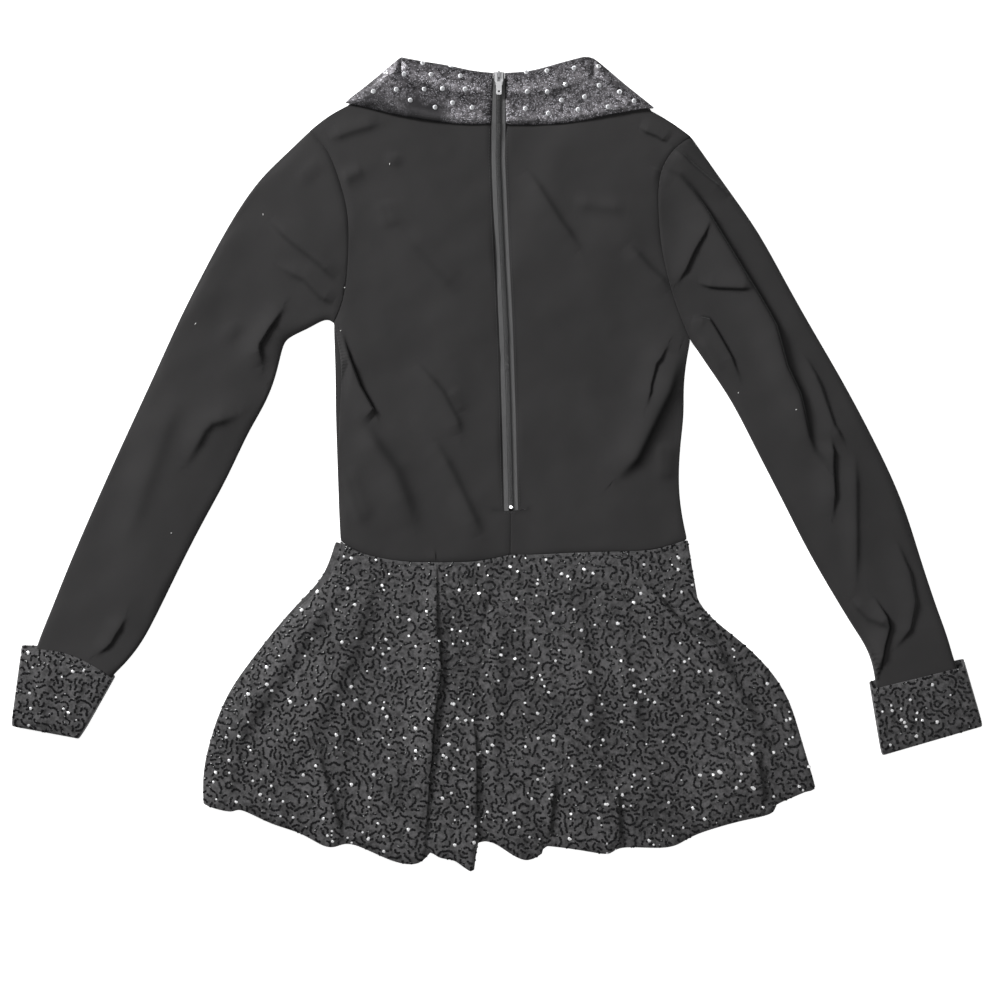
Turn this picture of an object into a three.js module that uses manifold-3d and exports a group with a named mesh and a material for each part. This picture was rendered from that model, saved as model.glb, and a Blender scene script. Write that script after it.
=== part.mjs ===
// A long-sleeved blazer dress laid flat with its back up, in millimetres.
// X runs across the garment, Y from the hem to the collar, and Z up from the surface it lies on.
import * as THREE from 'three';
import { mergeVertices } from 'three/addons/utils/BufferGeometryUtils.js';
import Module from 'manifold-3d';

const wasm = await Module();
wasm.setup();

// Rows of a table as objects with named columns
function table(names, rows) {
  const columns = names.split(' ');
  return rows.map((row) => Object.fromEntries(columns.map((name, n) => [name, row[n]])));
}

// Cloth and seams
const CLOTH = 1.2;
const SATIN = 1.5;
const GAP = 0.3;
const COLLAR_GAP = 0.4;
const SEAM = 0.35;
const LOFT = 1.6;
const LOFT_REACH = 30;
const EDGE_ROUND = 1.6;
const EDGE_FADE = 12;

// Zip
const TAPE = 1.0;
const COIL_HALF = 2.0;
const COIL_HIGH = 2.2;
const COIL_TOP_Y = 361.5;
const TAPE_TOP_Y = 363;
const ZIP_END_Y = -44;
const STOP_Y = -40.5;
const STOP_RADIUS = 1.8;
const STOP_HIGH = 2.5;
const STOP_SIDES = 16;
const COLLAR_RISE_FROM_Y = 300;
const COLLAR_RISE_TO_Y = 313;
const SLIDER_FROM_Y = 351;
const SLIDER_TO_Y = 363;
const SLIDER_HALF = 3.5;
const SLIDER_PLATE = 1.0;
const SLIDER_FLANGE = 1.0;
const BRIDGE = {
  fromY: 356.5,
  toY: 364.2,
  holeFromY: 357.9,
  holeToY: 363.1,
  high: 2.8,
  holeHigh: 2.1,
  half: 0.8,
  noseBack: 1.3,
  noseHigh: 0.6,
  noseLean: 0.4,
  tailLean: 1.2,
  holeSide: 1.2,
  holeLean: 0.7,
};
const TAB = {
  axisY: 361.9,
  axisUp: 1.0,
  barHalf: 0.6,
  length: 21,
  topHalf: 4,
  bottomHalf: 2.5,
  thick: 1.0,
  windowHalf: 1.5,
  windowLong: 7.5,
  holeFromEnd: 3.2,
  holeRadius: 1,
  holeSteps: 6,
  endCut: 0.8,
  endHigh: 1,
  taper: 0.2,
  shoulder: 2,
  topCut: 0.6,
};

// Centre back, where the zip runs, with half the width of the zip that shows
const CENTRE = table('y x half', [
  [-86, 13, 6.3],
  [-44, 13.5, 6.3],
  [48, 11.2, 6.3],
  [124, 8.8, 6.3],
  [217, 4.2, 6.3],
  [283, 1.4, 6.3],
  [315, 1.9, 6.3],
  [365, 2.3, 5],
]);

// Front neck: an open V, with half its width at the neck points
const NECK = { pointX: 6, pointY: 150, topY: 357, half: 86, sagReach: 25, sagShare: 0.7 };

// Half the width of the lapel pair, from the foot of the V up to the collar's corners
const LAPEL_SPREAD = table('y half', [
  [96, 0],
  [124, 14],
  [150, 32],
  [185, 76],
  [215, 110],
  [250, 136],
  [285, 151],
  [335, 146],
]);
const LAPEL_MARGIN = 16;
const LAPEL_FADE = 24;

// How the fold at the top of the collar lies above the surface
const FOLD_LEVEL = 1.8;
const FOLD_REACH = 25;
const FOLD_ROUND = 2;
const SIDE_ROLL = 8;

// The garment's left and right as it lies. Each edge runs away from the waist or from the centre back
const LEFT = {
  name: 'left',
  sign: -1,
  side: table('x y tuck', [
    [-144.6, -72, 0],
    [-146.5, -34, 0],
    [-147.9, 8, 1],
    [-149.3, 50, 4],
    [-149.3, 78, 6],
    [-150.2, 106, 5],
    [-151.1, 130.7, 0],
  ]),
  armhole: table('x y', [
    [-151.1, 130.7],
    [-145.5, 140],
    [-140, 163],
    [-137.2, 199],
    [-138.1, 235],
    [-146.5, 265.5],
    [-154.8, 288],
    [-161.4, 298],
    [-173.4, 308.3],
  ]),
  shoulder: table('x y', [
    [-173.4, 308.3],
    [-166, 314.8],
    [-148, 328.6],
    [-136, 332.6],
    [-120, 341],
    [-102, 354],
    [-88, 359],
  ]),
  neckline: table('x y', [
    [-88, 359],
    [-70, 349],
    [-40, 341],
    [-4.6, 338],
  ]),
  fold: table('x y', [
    [-3.3, 362.7],
    [-22, 364.7],
    [-47, 370],
    [-68.4, 373.4],
    [-88.4, 377.2],
  ]),
  fall: table('x y', [
    [-5.4, 315.4],
    [-30.3, 315],
    [-61.5, 318.1],
    [-92.5, 323.3],
    [-117.5, 329.5],
    [-140.3, 334.7],
  ]),
  lapelOuter: table('x y', [
    [-3, 148],
    [-22, 163],
    [-60, 185],
    [-100, 215],
    [-130, 250],
    [-145, 285],
    [-148, 312],
    [-138, 335],
    [-117.5, 351.4],
    [-105, 361.7],
    [-92, 373],
  ]),
  lapelInner: table('x y', [
    [5.4, 150.5],
    [-5, 175],
    [-19, 205],
    [-31, 232],
    [-44, 262],
    [-56, 290],
    [-66, 312],
    [-75, 333],
    [-82, 350],
    [-86, 363],
    [-88, 375],
  ]),
  sleeve: table('innerX innerY outerX outerY', [
    [-151.1, 130.7, -173.4, 308.3],
    [-158.6, 134.4, -195.8, 286.9],
    [-176, 124.6, -223.7, 259],
    [-195.3, 115.5, -250.6, 217.2],
    [-200.5, 99, -273, 175.3],
    [-210.6, 63.7, -294.3, 133.5],
    [-231, 28, -319.5, 77.7],
    [-251.1, -15.3, -345.5, 21.9],
    [-278, -64, -370.6, -33.9],
    [-304.6, -117.6, -394.8, -89.7],
    [-328, -164.5, -411.5, -131.6],
    [-347, -188, -421.6, -157],
    [-358.6, -200, -427, -172],
    [-380.8, -237.6, -444.9, -223.4],
  ]),
  cuff: { bow: 9, setback: 3, mouth: [-354, -198, -440.5, -169], wrist: [-386.5, -255.5, -450.8, -243.5] },
};

const RIGHT = {
  name: 'right',
  sign: 1,
  side: table('x y tuck', [
    [176.8, -70.7, 0],
    [169.7, -34, 0],
    [169.7, 8, 0],
    [174.4, 50, 0],
    [173.4, 78, 0],
    [180, 114.6, 0],
  ]),
  armhole: table('x y', [
    [180, 114.6],
    [170.7, 136],
    [160.4, 166],
    [153, 199],
    [150.2, 229],
    [149.3, 253],
    [152.1, 273],
    [163.2, 291.6],
    [180, 303.6],
  ]),
  shoulder: table('x y', [
    [180, 303.6],
    [166, 313.8],
    [152, 324],
    [139, 328.6],
    [124, 338],
    [104, 354],
    [90, 359],
  ]),
  neckline: table('x y', [
    [90, 359],
    [72, 349],
    [44, 341],
    [8.6, 338],
  ]),
  fold: table('x y', [
    [7.9, 362.7],
    [32, 364.7],
    [63, 373],
    [84, 378.2],
    [90.1, 376.2],
  ]),
  fall: table('x y', [
    [9.1, 314.5],
    [42.4, 314.5],
    [73.5, 317],
    [104.6, 323.3],
    [135.8, 329.1],
    [146.2, 329.5],
  ]),
  lapelOuter: table('x y', [
    [15, 148],
    [34, 163],
    [68, 185],
    [106, 215],
    [135, 250],
    [150, 285],
    [153, 310],
    [143, 330.5],
    [127.5, 344],
    [108, 358.6],
    [94, 370],
  ]),
  lapelInner: table('x y', [
    [6.6, 150.5],
    [16, 175],
    [28, 205],
    [39, 232],
    [50, 262],
    [61, 290],
    [70, 312],
    [78, 333],
    [84, 350],
    [87.6, 362],
    [89.6, 373],
  ]),
  sleeve: table('innerX innerY outerX outerY', [
    [180, 114.6, 180, 303.6],
    [183, 110, 192, 286.9],
    [188, 103, 211.6, 259],
    [196, 91, 241.3, 217.2],
    [207, 75, 264.6, 175.3],
    [222.7, 49.8, 287.8, 133.5],
    [244, 7.5, 320.4, 77.7],
    [265.5, -33.9, 350.1, 21.9],
    [286.5, -75.8, 376.2, -33.9],
    [308, -113.5, 393.9, -89.7],
    [330, -150, 408.5, -133.6],
    [346, -176, 419, -163],
    [352.5, -207, 426.6, -190],
    [357.5, -251.4, 444.4, -228.6],
  ]),
  cuff: { bow: 0, setback: 7, mouth: [346, -203, 433.6, -181.6], wrist: [357.4, -271, 451.8, -243.5] },
};

const WAIST = table('x y', [
  [-144.6, -72],
  [-133, -80],
  [-112, -86.7],
  [-83, -91],
  [-52, -91.6],
  [-24.6, -91.1],
  [-8, -89],
  [13, -84.6],
  [39.5, -84.2],
  [75, -82.4],
  [115, -81.4],
  [143, -80.3],
  [161, -75.8],
  [176.8, -70.7],
]);
const WAIST_CENTRE_ROW = 7;

// Skirt sides from the hem up to the waist, with how far the back layer lies inside the front one
const SKIRT_LEFT = table('x y tuck', [
  [-272.1, -315.9, 0],
  [-273, -285, 0],
  [-265.5, -257, 0],
  [-258, -229, 1],
  [-242.3, -201, 2],
  [-219.9, -173.4, 2],
  [-199.5, -145.5, 3],
  [-182.7, -128, 6],
  [-161.4, -108.7, 8],
  [-153, -93, 7],
  [-151.8, -78, 6],
  [-149.4, -72.4, 4.6],
]);
const SKIRT_RIGHT = table('x y tuck', [
  [296.3, -301, 0],
  [286.4, -267, 0],
  [277.6, -238.5, 0],
  [270.2, -215.3, 0],
  [250.6, -187.4, 0],
  [222.8, -162, 0],
  [206.2, -149, 0],
  [185.4, -133.5, 0],
  [183.8, -120, 0],
  [183, -105, 0],
  [180.4, -85, 0],
  [177.4, -71.1, 0],
]);

// The back hem from left to right, with how far the cloth stands up over the front layer there
const HEM = table('x y rise', [
  [-272.1, -315.9, 0],
  [-264, -319.6, 1],
  [-246, -323.4, 1.9],
  [-236.9, -321.1, 0.2],
  [-209.3, -334, 2.2],
  [-182, -343, 0.6],
  [-161, -354.6, 2],
  [-149, -355.6, 2.1],
  [-133.7, -352.4, 0.2],
  [-95.9, -369.3, 2.2],
  [-72, -371.4, 1.8],
  [-61.5, -361, 0.1],
  [-52.8, -366, 1.7],
  [-39.1, -368, 2],
  [-28.7, -375.6, 2.2],
  [-20.8, -376.8, 2.2],
  [-17.2, -352, 0.3],
  [-2.1, -352.2, 0.2],
  [12, -361.4, 1.6],
  [28, -368.6, 2.2],
  [42, -362, 1],
  [47.2, -355, 0.1],
  [84.5, -359.7, 1.8],
  [104.3, -362.5, 2],
  [115.3, -356, 0.2],
  [150.4, -356.7, 2],
  [168, -353.8, 1],
  [185.5, -344, 0.2],
  [225, -331.8, 2],
  [255, -325.4, 1.4],
  [259.6, -317, 0.1],
  [272, -311, 1.4],
  [296.3, -301, 0],
]);
const HEM_STEPS = 2;
const SKIRT_STEPS = 10;
const HEM_FADE = 0.8;
const FRONT_HEM = { y: -303, sag: 38, centre: 12, half: 284 };

// The largest creases of the upper layer: ridges where rise is above 0 and troughs where it is below
const CREASES = table('fromX fromY toX toY width rise', [
  [-141, 123, -106, 44, 14, 1.6],
  [-122, 40, -72, -60, 22, 1.5],
  [-72, 93, -30, 28, 16, 1.2],
  [-55, 21, -12, -66, 18, 1.4],
  [169, 100, 122, -8, 20, 1.9],
  [160, 20, 154, -30, 16, 1.1],
  [30, 272, 80, 198, 20, 1.1],
  [124, 204, 164, 163, 15, 1.2],
  [-102, 263, -42, 160, 24, 0.9],
  [158, 274, 232, 170, 14, 2],
  [220, 182, 302, 4, 14, 2],
  [130, 310, 214, 250, 13, 1.4],
  [290, 96, 326, 18, 12, 1.4],
  [186, 136, 240, 78, 14, 1.3],
  [332, 6, 336, -112, 14, 1.2],
  [366, -78, 384, -150, 12, 1.5],
  [355, -126, 372, -158, 12, 1],
  [-212, 224, -150, 172, 16, 1.4],
  [-196, 142, -222, 90, 13, 1.9],
  [-238, 44, -286, -4, 15, 1.5],
  [-354, -160, -366, -178, 10, 1.2],
]);
const CREASE_ENDS = 0.35;

const { smoothstep, lerp, clamp } = THREE.MathUtils;

const plan = (row) => new THREE.Vector2(row.x, row.y);
const curve = (rows) => new THREE.SplineCurve(rows.map(plan));
const pick = (rows, name) => rows.map((row) => ({ x: row[`${name}X`], y: row[`${name}Y`] }));

// Points at equal steps of length along a curve
const steps = (path, count) => Array.from({ length: count + 1 }, (_, n) => path.getPointAt(n / count));

// The value in one column of a table where another column has the value asked for
function read(rows, key, value, column) {
  const descending = rows[0][key] > rows.at(-1)[key];
  const sorted = descending ? [...rows].reverse() : rows;
  const last = sorted.length - 2;
  const found = sorted.findIndex((row, n) => n > last || value <= sorted[n + 1][key]);
  const low = sorted[Math.min(found, last)];
  const high = sorted[Math.min(found, last) + 1];
  const share = clamp((value - low[key]) / (high[key] - low[key]), 0, 1);
  return lerp(low[column], high[column], share);
}

const centreX = (y) => read(CENTRE, 'y', y, 'x');
const zipHalf = (y) => read(CENTRE, 'y', y, 'half');

// Free and sewn edges where the upper layer comes down onto the lower one
const EDGE_STEPS = { side: 6, sleeve: 20, shoulder: 6, neckline: 5, skirt: 12 };
const EDGES = [LEFT, RIGHT].flatMap((half) => [
  steps(curve(half.side), EDGE_STEPS.side),
  steps(curve(pick(half.sleeve, 'inner')), EDGE_STEPS.sleeve),
  steps(curve(pick(half.sleeve, 'outer')), EDGE_STEPS.sleeve),
  steps(curve(half.shoulder), EDGE_STEPS.shoulder),
  steps(curve(half.neckline), EDGE_STEPS.neckline),
]).concat([SKIRT_LEFT, SKIRT_RIGHT].map((rows) => steps(curve(rows), EDGE_STEPS.skirt)));

function segmentDistance(x, y, from, to) {
  const run = to.clone().sub(from);
  const share = clamp(((x - from.x) * run.x + (y - from.y) * run.y) / run.lengthSq(), 0, 1);
  return { share, off: Math.hypot(x - from.x - share * run.x, y - from.y - share * run.y) };
}

function edgeDistance(x, y) {
  let nearest = Infinity;
  for (const edge of EDGES) {
    for (let n = 1; n < edge.length; n += 1) {
      nearest = Math.min(nearest, segmentDistance(x, y, edge[n - 1], edge[n]).off);
    }
  }
  return nearest;
}

function creaseRise(x, y) {
  return CREASES.reduce((sum, crease) => {
    const from = new THREE.Vector2(crease.fromX, crease.fromY);
    const to = new THREE.Vector2(crease.toX, crease.toY);
    const { share, off } = segmentDistance(x, y, from, to);
    const ends = smoothstep(share, 0, CREASE_ENDS) * (1 - smoothstep(share, 1 - CREASE_ENDS, 1));
    return sum + crease.rise * ends * (1 - smoothstep(off, 0, crease.width));
  }, 0);
}

// How far the lapels under the front hold it off the surface
function lapelLift(x, y) {
  const beyond = Math.abs(x - centreX(y)) - read(LAPEL_SPREAD, 'y', y, 'half') - LAPEL_MARGIN;
  const foot = smoothstep(y, LAPEL_SPREAD[0].y, LAPEL_SPREAD[1].y);
  return (SATIN + GAP) * foot * (1 - smoothstep(beyond, 0, LAPEL_FADE));
}

// The top of the lower layer, which sags to the surface inside the open V of the neck
function lowerTop(x, y) {
  const half = NECK.half * (y - NECK.pointY) / (NECK.topY - NECK.pointY);
  const inside = Math.max(0, half - Math.abs(x - centreX(y)));
  return (lapelLift(x, y) + CLOTH) * (1 - NECK.sagShare * smoothstep(inside, 0, NECK.sagReach));
}

// The underside of the upper layer: the back of the bodice, the skirt and the sleeves
function upperUnder(x, y) {
  const loft = LOFT * (1 - Math.exp(-edgeDistance(x, y) / LOFT_REACH));
  const closeness = smoothstep(edgeDistance(x, y), 0, EDGE_FADE);
  return lowerTop(x, y) + GAP + loft + Math.max(-loft, creaseRise(x, y) * closeness);
}

// The underside of the collar's stand, which comes down towards the fold at its top edge
function standUnder(x, y) {
  const fold = x < centreX(y) ? LEFT.fold : RIGHT.fold;
  const below = read(fold, 'x', x, 'y') - y;
  return lerp(FOLD_LEVEL, upperUnder(x, y), smoothstep(below, 0, FOLD_REACH));
}

const fallUnder = (x, y) => standUnder(x, y) + SATIN + COLLAR_GAP;

const zipUnder = (x, y) =>
  lerp(upperUnder(x, y), fallUnder(x, y), smoothstep(y, COLLAR_RISE_FROM_Y, COLLAR_RISE_TO_Y));

// A grid of plan points inside four edges: bottom and top run to the right, left and right run upwards
function patch(bottom, top, left, right) {
  const across = bottom.length - 1;
  const up = left.length - 1;
  return left.map((_, j) => bottom.map((__, i) => {
    const u = i / across;
    const v = j / up;
    const ruled = bottom[i].clone().lerp(top[i], v);
    const crossed = left[j].clone().lerp(right[j], u);
    const foot = bottom[0].clone().lerp(bottom[across], u);
    const head = top[0].clone().lerp(top[across], u);
    return ruled.add(crossed).sub(foot.lerp(head, v));
  }));
}

// A closed wall with a face for each cell of its grid: place(across, up, top) gives each corner
function wall(across, up, place) {
  const geometry = new THREE.BoxGeometry(1, 1, 1, across, up, 1);
  const position = geometry.attributes.position;
  for (let n = 0; n < position.count; n += 1) {
    const i = Math.round((position.getX(n) + 0.5) * across);
    const j = Math.round((position.getY(n) + 0.5) * up);
    const corner = place(i, j, position.getZ(n) > 0);
    position.setXYZ(n, corner.x, corner.y, corner.z);
  }
  geometry.computeVertexNormals();
  return geometry;
}

function layer(grid, under, thickness) {
  return wall(grid[0].length - 1, grid.length - 1, (i, j, top) => {
    const at = grid[j][i];
    return new THREE.Vector3(at.x, at.y, under(at.x, at.y, i, j) + (top ? thickness : 0));
  });
}

// A closed ring wall: rows go round its skin, and each row goes once round the tube
function ringWall(rows) {
  const round = rows[0].length;
  const geometry = new THREE.TorusGeometry(2, 1, rows.length, round);
  const { position, uv } = geometry.attributes;
  for (let n = 0; n < position.count; n += 1) {
    const row = rows[Math.round(uv.getY(n) * rows.length) % rows.length];
    const corner = row[Math.round(uv.getX(n) * round) % round];
    position.setXYZ(n, corner.x, corner.y, corner.z);
  }
  geometry.computeVertexNormals();
  return geometry;
}

const TUBE_STEPS = 10;
const TUBE_INSET = 0.6;

// Shares across a flattened tube, close to each edge and evenly between
function tubeShares(width, inset) {
  const first = inset * TUBE_INSET + EDGE_ROUND;
  const flat = Array.from({ length: TUBE_STEPS + 1 }, (_, n) => lerp(first, width - first, n / TUBE_STEPS));
  return [inset, ...flat, width - inset].map((distance) => distance / width);
}

// One turn round a flattened tube: the lower layer from the inner edge out, then the upper layer back
function tubeTurn(width, inset, at, low, high) {
  const shares = tubeShares(width, inset);
  const corner = (share, isUpper, isEdge) => {
    const { x, y } = at(share, isUpper);
    const bottom = low(x, y);
    const top = high(x, y);
    return new THREE.Vector3(x, y, isEdge ? (bottom + top) / 2 : isUpper ? top : bottom);
  };
  const lower = shares.map((share, n) => corner(share, false, n === 0 || n === shares.length - 1));
  const upper = shares.slice(1, -1).reverse().map((share) => corner(share, true, false));
  return [...lower, ...upper];
}

const meshes = new THREE.Group();

function add(name, geometry, finish) {
  const mesh = new THREE.Mesh(geometry, new THREE.MeshStandardMaterial(finish));
  mesh.name = name;
  meshes.add(mesh);
}

const FINISH = {
  knit: { color: 0x2b2a2c, roughness: 0.9 },
  sequin: { color: 0x3d3b3f, roughness: 0.5 },
  satin: { color: 0x55535a, roughness: 0.35 },
  tape: { color: 0x3c3b3d, roughness: 0.8 },
  metal: { color: 0xb9b9bd, roughness: 0.25, metalness: 1 },
};
const addKnit = (name, geometry) => add(name, geometry, FINISH.knit);
const addSequin = (name, geometry) => add(name, geometry, FINISH.sequin);
const addSatin = (name, geometry) => add(name, geometry, FINISH.satin);
const addTape = (name, geometry) => add(name, geometry, FINISH.tape);
const addMetal = (name, geometry) => add(name, geometry, FINISH.metal);

const SIDE_STEPS = 8;

// Armhole points where the sleeve's turns have theirs, so that both edges of the seam agree
function armholePoints(half) {
  const path = curve(half.armhole);
  return tubeShares(path.getLength(), 0).map((share) => path.getPointAt(share));
}

function outerEdge(half, tucked) {
  const side = half.side.map((row) => ({ x: row.x - half.sign * (tucked ? row.tuck : 0), y: row.y }));
  return [...steps(curve(side), SIDE_STEPS).slice(0, -1), ...armholePoints(half)];
}

const SEAM_STEPS = 2;

// Edge of a back panel along the centre seam and then along the zip
function zipEdge(half, count) {
  const seam = Array.from({ length: SEAM_STEPS + 1 }, (_, n) => {
    const y = lerp(WAIST[WAIST_CENTRE_ROW].y, ZIP_END_Y - GAP, n / SEAM_STEPS);
    return new THREE.Vector2(centreX(y) + half.sign * GAP / 2, y);
  });
  const run = count - SEAM_STEPS - 1;
  const neckY = half.neckline.at(-1).y;
  const beside = Array.from({ length: run + 1 }, (_, n) => {
    const y = lerp(ZIP_END_Y - GAP, neckY, n / run);
    return new THREE.Vector2(centreX(y) + half.sign * (zipHalf(y) + GAP), y);
  });
  return [...seam, ...beside];
}

const SHOULDER_STEPS = 4;
const NECK_STEPS = 5;

function backPanel(half) {
  const outer = outerEdge(half, true);
  const inner = zipEdge(half, outer.length - 1);
  const waistRows = half.sign < 0
    ? WAIST.slice(0, WAIST_CENTRE_ROW + 1)
    : WAIST.slice(WAIST_CENTRE_ROW).reverse();
  const neckline = steps(curve(half.neckline), NECK_STEPS);
  neckline[NECK_STEPS].copy(inner.at(-1));
  const top = [...steps(curve(half.shoulder), SHOULDER_STEPS).slice(0, -1), ...neckline];
  const bottom = steps(curve(waistRows), SHOULDER_STEPS + NECK_STEPS);
  bottom[bottom.length - 1].copy(inner[0]);
  const grid = half.sign < 0
    ? patch(bottom, top, outer, inner)
    : patch(bottom.reverse(), top.reverse(), inner, outer);
  addKnit(`back_${half.name}`, layer(grid, upperUnder, CLOTH));
}

function front() {
  const shoulder = (half) => steps(curve(half.shoulder), SHOULDER_STEPS).slice(0, -1);
  const slope = (half) => Array.from({ length: NECK_STEPS }, (_, n) => plan(half.neckline[0])
    .lerp(new THREE.Vector2(NECK.pointX, NECK.pointY), n / NECK_STEPS));
  const point = new THREE.Vector2(NECK.pointX, NECK.pointY);
  const top = [
    ...shoulder(LEFT), ...slope(LEFT), point, ...slope(RIGHT).reverse(), ...shoulder(RIGHT).reverse(),
  ];
  const bottom = steps(curve(WAIST), top.length - 1);
  const grid = patch(bottom, top, outerEdge(LEFT, false), outerEdge(RIGHT, false));
  addKnit('front', layer(grid, lapelLift, CLOTH));
}

// Sleeves, whose ends go up inside the turned-back cuffs
const SLEEVE_STEPS = 22;
const ARMHOLE_FADE = 0.3;
const CUFF_LIFT = CLOTH + GAP;
const CUFF_HOLLOW = 0.8;
const CUFF_ROWS = { rise: 3, level: 2 };

function sleeve(half) {
  const inner = curve(pick(half.sleeve, 'inner'));
  const outer = curve(pick(half.sleeve, 'outer'));
  const armhole = curve(half.armhole);
  const lastRow = half.sleeve.length - 1;
  const chord = (v, share) => inner.getPoint(v).lerp(outer.getPoint(v), share);
  const at = (v) => (share) => {
    const bulge = armhole.getPointAt(share).sub(chord(0, share));
    const fade = Math.max(0, 1 - v / ARMHOLE_FADE) ** 2;
    return chord(v, share).add(bulge.multiplyScalar(fade)).add(new THREE.Vector2(half.sign * SEAM, 0));
  };
  const turn = (v, inset) => {
    const inCuff = smoothstep(v * lastRow, lastRow - CUFF_ROWS.rise, lastRow - CUFF_ROWS.level);
    const width = v === 0 ? armhole.getLength() : inner.getPoint(v).distanceTo(outer.getPoint(v));
    const lift = CUFF_LIFT * inCuff;
    const low = (x, y) => lift + (inset > 0 ? CLOTH : 0);
    const high = (x, y) => {
      const under = lerp(upperUnder(x, y), CUFF_LIFT + CLOTH + GAP + CUFF_HOLLOW, inCuff);
      return under + (inset > 0 ? 0 : CLOTH);
    };
    return tubeTurn(width, inset, at(v), low, high);
  };
  const shares = Array.from({ length: SLEEVE_STEPS + 1 }, (_, n) => n / SLEEVE_STEPS);
  const outside = shares.map((v) => turn(v, 0));
  const inside = shares.map((v) => turn(v, CLOTH)).reverse();
  const rows = [...outside, ...inside];
  addKnit(`sleeve_${half.name}`, ringWall(half.sign < 0 ? rows.reverse() : rows));
}

// A cuff's skin from its free edge to the wrist, in round the lip and back: share along it and depth in
const LIP = 0.78;
const CUFF_SKIN = table('along depth', [
  [0, 0],
  [0.3, 0],
  [0.65, 0],
  [0.97, 0],
  [1, CLOTH + GAP / 2],
  [0.97, 2 * CLOTH + GAP],
  [LIP, 2 * CLOTH + GAP],
  [LIP, CLOTH + GAP],
  [0.95, CLOTH + GAP],
  [0.95, CLOTH],
  [0.65, CLOTH],
  [0.3, CLOTH],
  [0, CLOTH],
]);
const CUFF_HIGH = 4 * CLOTH + 3 * GAP + CUFF_HOLLOW;
const CUFF_FLARE = 1.4;

function cuff(half) {
  const [innerX, innerY, outerX, outerY] = half.cuff.mouth;
  const [wristInnerX, wristInnerY, wristOuterX, wristOuterY] = half.cuff.wrist;
  const mouth = [new THREE.Vector2(innerX, innerY), new THREE.Vector2(outerX, outerY)];
  const wrist = [new THREE.Vector2(wristInnerX, wristInnerY), new THREE.Vector2(wristOuterX, wristOuterY)];
  const axis = wrist[0].clone().add(wrist[1]).sub(mouth[0]).sub(mouth[1]).normalize();
  const rows = CUFF_SKIN.map(({ along, depth }) => {
    const from = mouth[0].clone().lerp(wrist[0], along);
    const to = mouth[1].clone().lerp(wrist[1], along);
    const at = (share, isUpper) => {
      const bow = half.cuff.bow * Math.sin(Math.PI * share) * (1 - along);
      const back = (isUpper ? half.cuff.setback : 0) * (1 - along);
      return from.clone().lerp(to, share).addScaledVector(axis, back - bow);
    };
    const top = CUFF_HIGH + CUFF_FLARE * (1 - along) ** 2;
    return tubeTurn(from.distanceTo(to), depth, at, () => depth, () => top - depth);
  });
  addSequin(`cuff_${half.name}`, ringWall(half.sign < 0 ? rows.reverse() : rows));
}

// Collar halves: the stand goes up from the neckline, and the fall comes back over it
const COLLAR_STEPS = 12;
const STAND_STEPS = 3;
const FALL_STEPS = 8;

function collar(half) {
  const ends = {
    neck: steps(curve([...half.neckline].reverse()), COLLAR_STEPS),
    fold: steps(curve(half.fold), COLLAR_STEPS),
    fall: steps(curve(half.fall), COLLAR_STEPS),
  };
  const sideRow = (n) => ends.fold[n].distanceTo(ends.fold[COLLAR_STEPS]);
  const stand = Array.from({ length: STAND_STEPS }, (_, n) => ({ to: 'neck', share: 1 - n / STAND_STEPS }));
  const fall = Array.from({ length: FALL_STEPS }, (_, n) => ({ to: 'fall', share: (n + 1) / FALL_STEPS }));
  const rows = [...stand, { to: 'neck' }, { to: 'round' }, { to: 'fall' }, ...fall];
  const place = (i, j, outside) => {
    const column = half.sign < 0 ? COLLAR_STEPS - i : i;
    const row = rows[j];
    const start = ends.fold[column];
    const end = ends[row.to === 'round' ? 'fall' : row.to][column];
    const length = start.distanceTo(end);
    const depth = outside ? 0 : SATIN;
    const distance = row.to === 'round' ? depth : FOLD_ROUND + depth / 2;
    const away = row.share === undefined ? distance : Math.max(row.share * length, distance + GAP);
    const at = start.clone().lerp(end, away / length);
    if (row.share === 1 && row.to === 'neck') {
      at.y += SEAM + GAP / 2;
    }
    const low = standUnder(at.x, at.y);
    const roll = (Math.sin(Math.PI * away / length) ** 2)
      * Math.max(0, 1 - sideRow(column) / SIDE_ROLL) ** 2;
    const above = fallUnder(at.x, at.y);
    const under = row.to === 'fall' ? lerp(above, FOLD_LEVEL, clamp(roll, 0, 1)) : above;
    const heights = {
      neck: low + (outside ? 0 : SATIN),
      round: (low + under + SATIN) / 2,
      fall: under + (outside ? SATIN : 0),
    };
    return new THREE.Vector3(at.x, at.y, heights[row.to]);
  };
  addSatin(`collar_${half.name}`, wall(COLLAR_STEPS, rows.length - 1, (i, j, top) => {
    return place(i, rows.length - 1 - j, top);
  }));
}

const LAPEL_STEPS = 16;

function lapel(half) {
  const outer = steps(curve(half.lapelOuter), LAPEL_STEPS);
  const inner = steps(curve(half.lapelInner), LAPEL_STEPS);
  const [left, right] = half.sign < 0 ? [outer, inner] : [inner, outer];
  const middle = (n) => left[n].clone().lerp(right[n], 0.5);
  const bottom = [left[0], middle(0), right[0]];
  const top = [left.at(-1), middle(LAPEL_STEPS), right.at(-1)];
  addSatin(`lapel_${half.name}`, layer(patch(bottom, top, left, right), () => 0, SATIN));
}

// Skirt layers hang from the waist seam, just below the bodice
function skirtSide(rows, count, tucked) {
  const edge = rows.map((row) => ({ x: row.x - Math.sign(row.x) * (tucked ? row.tuck : 0), y: row.y }));
  return steps(curve(edge), count);
}

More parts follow.
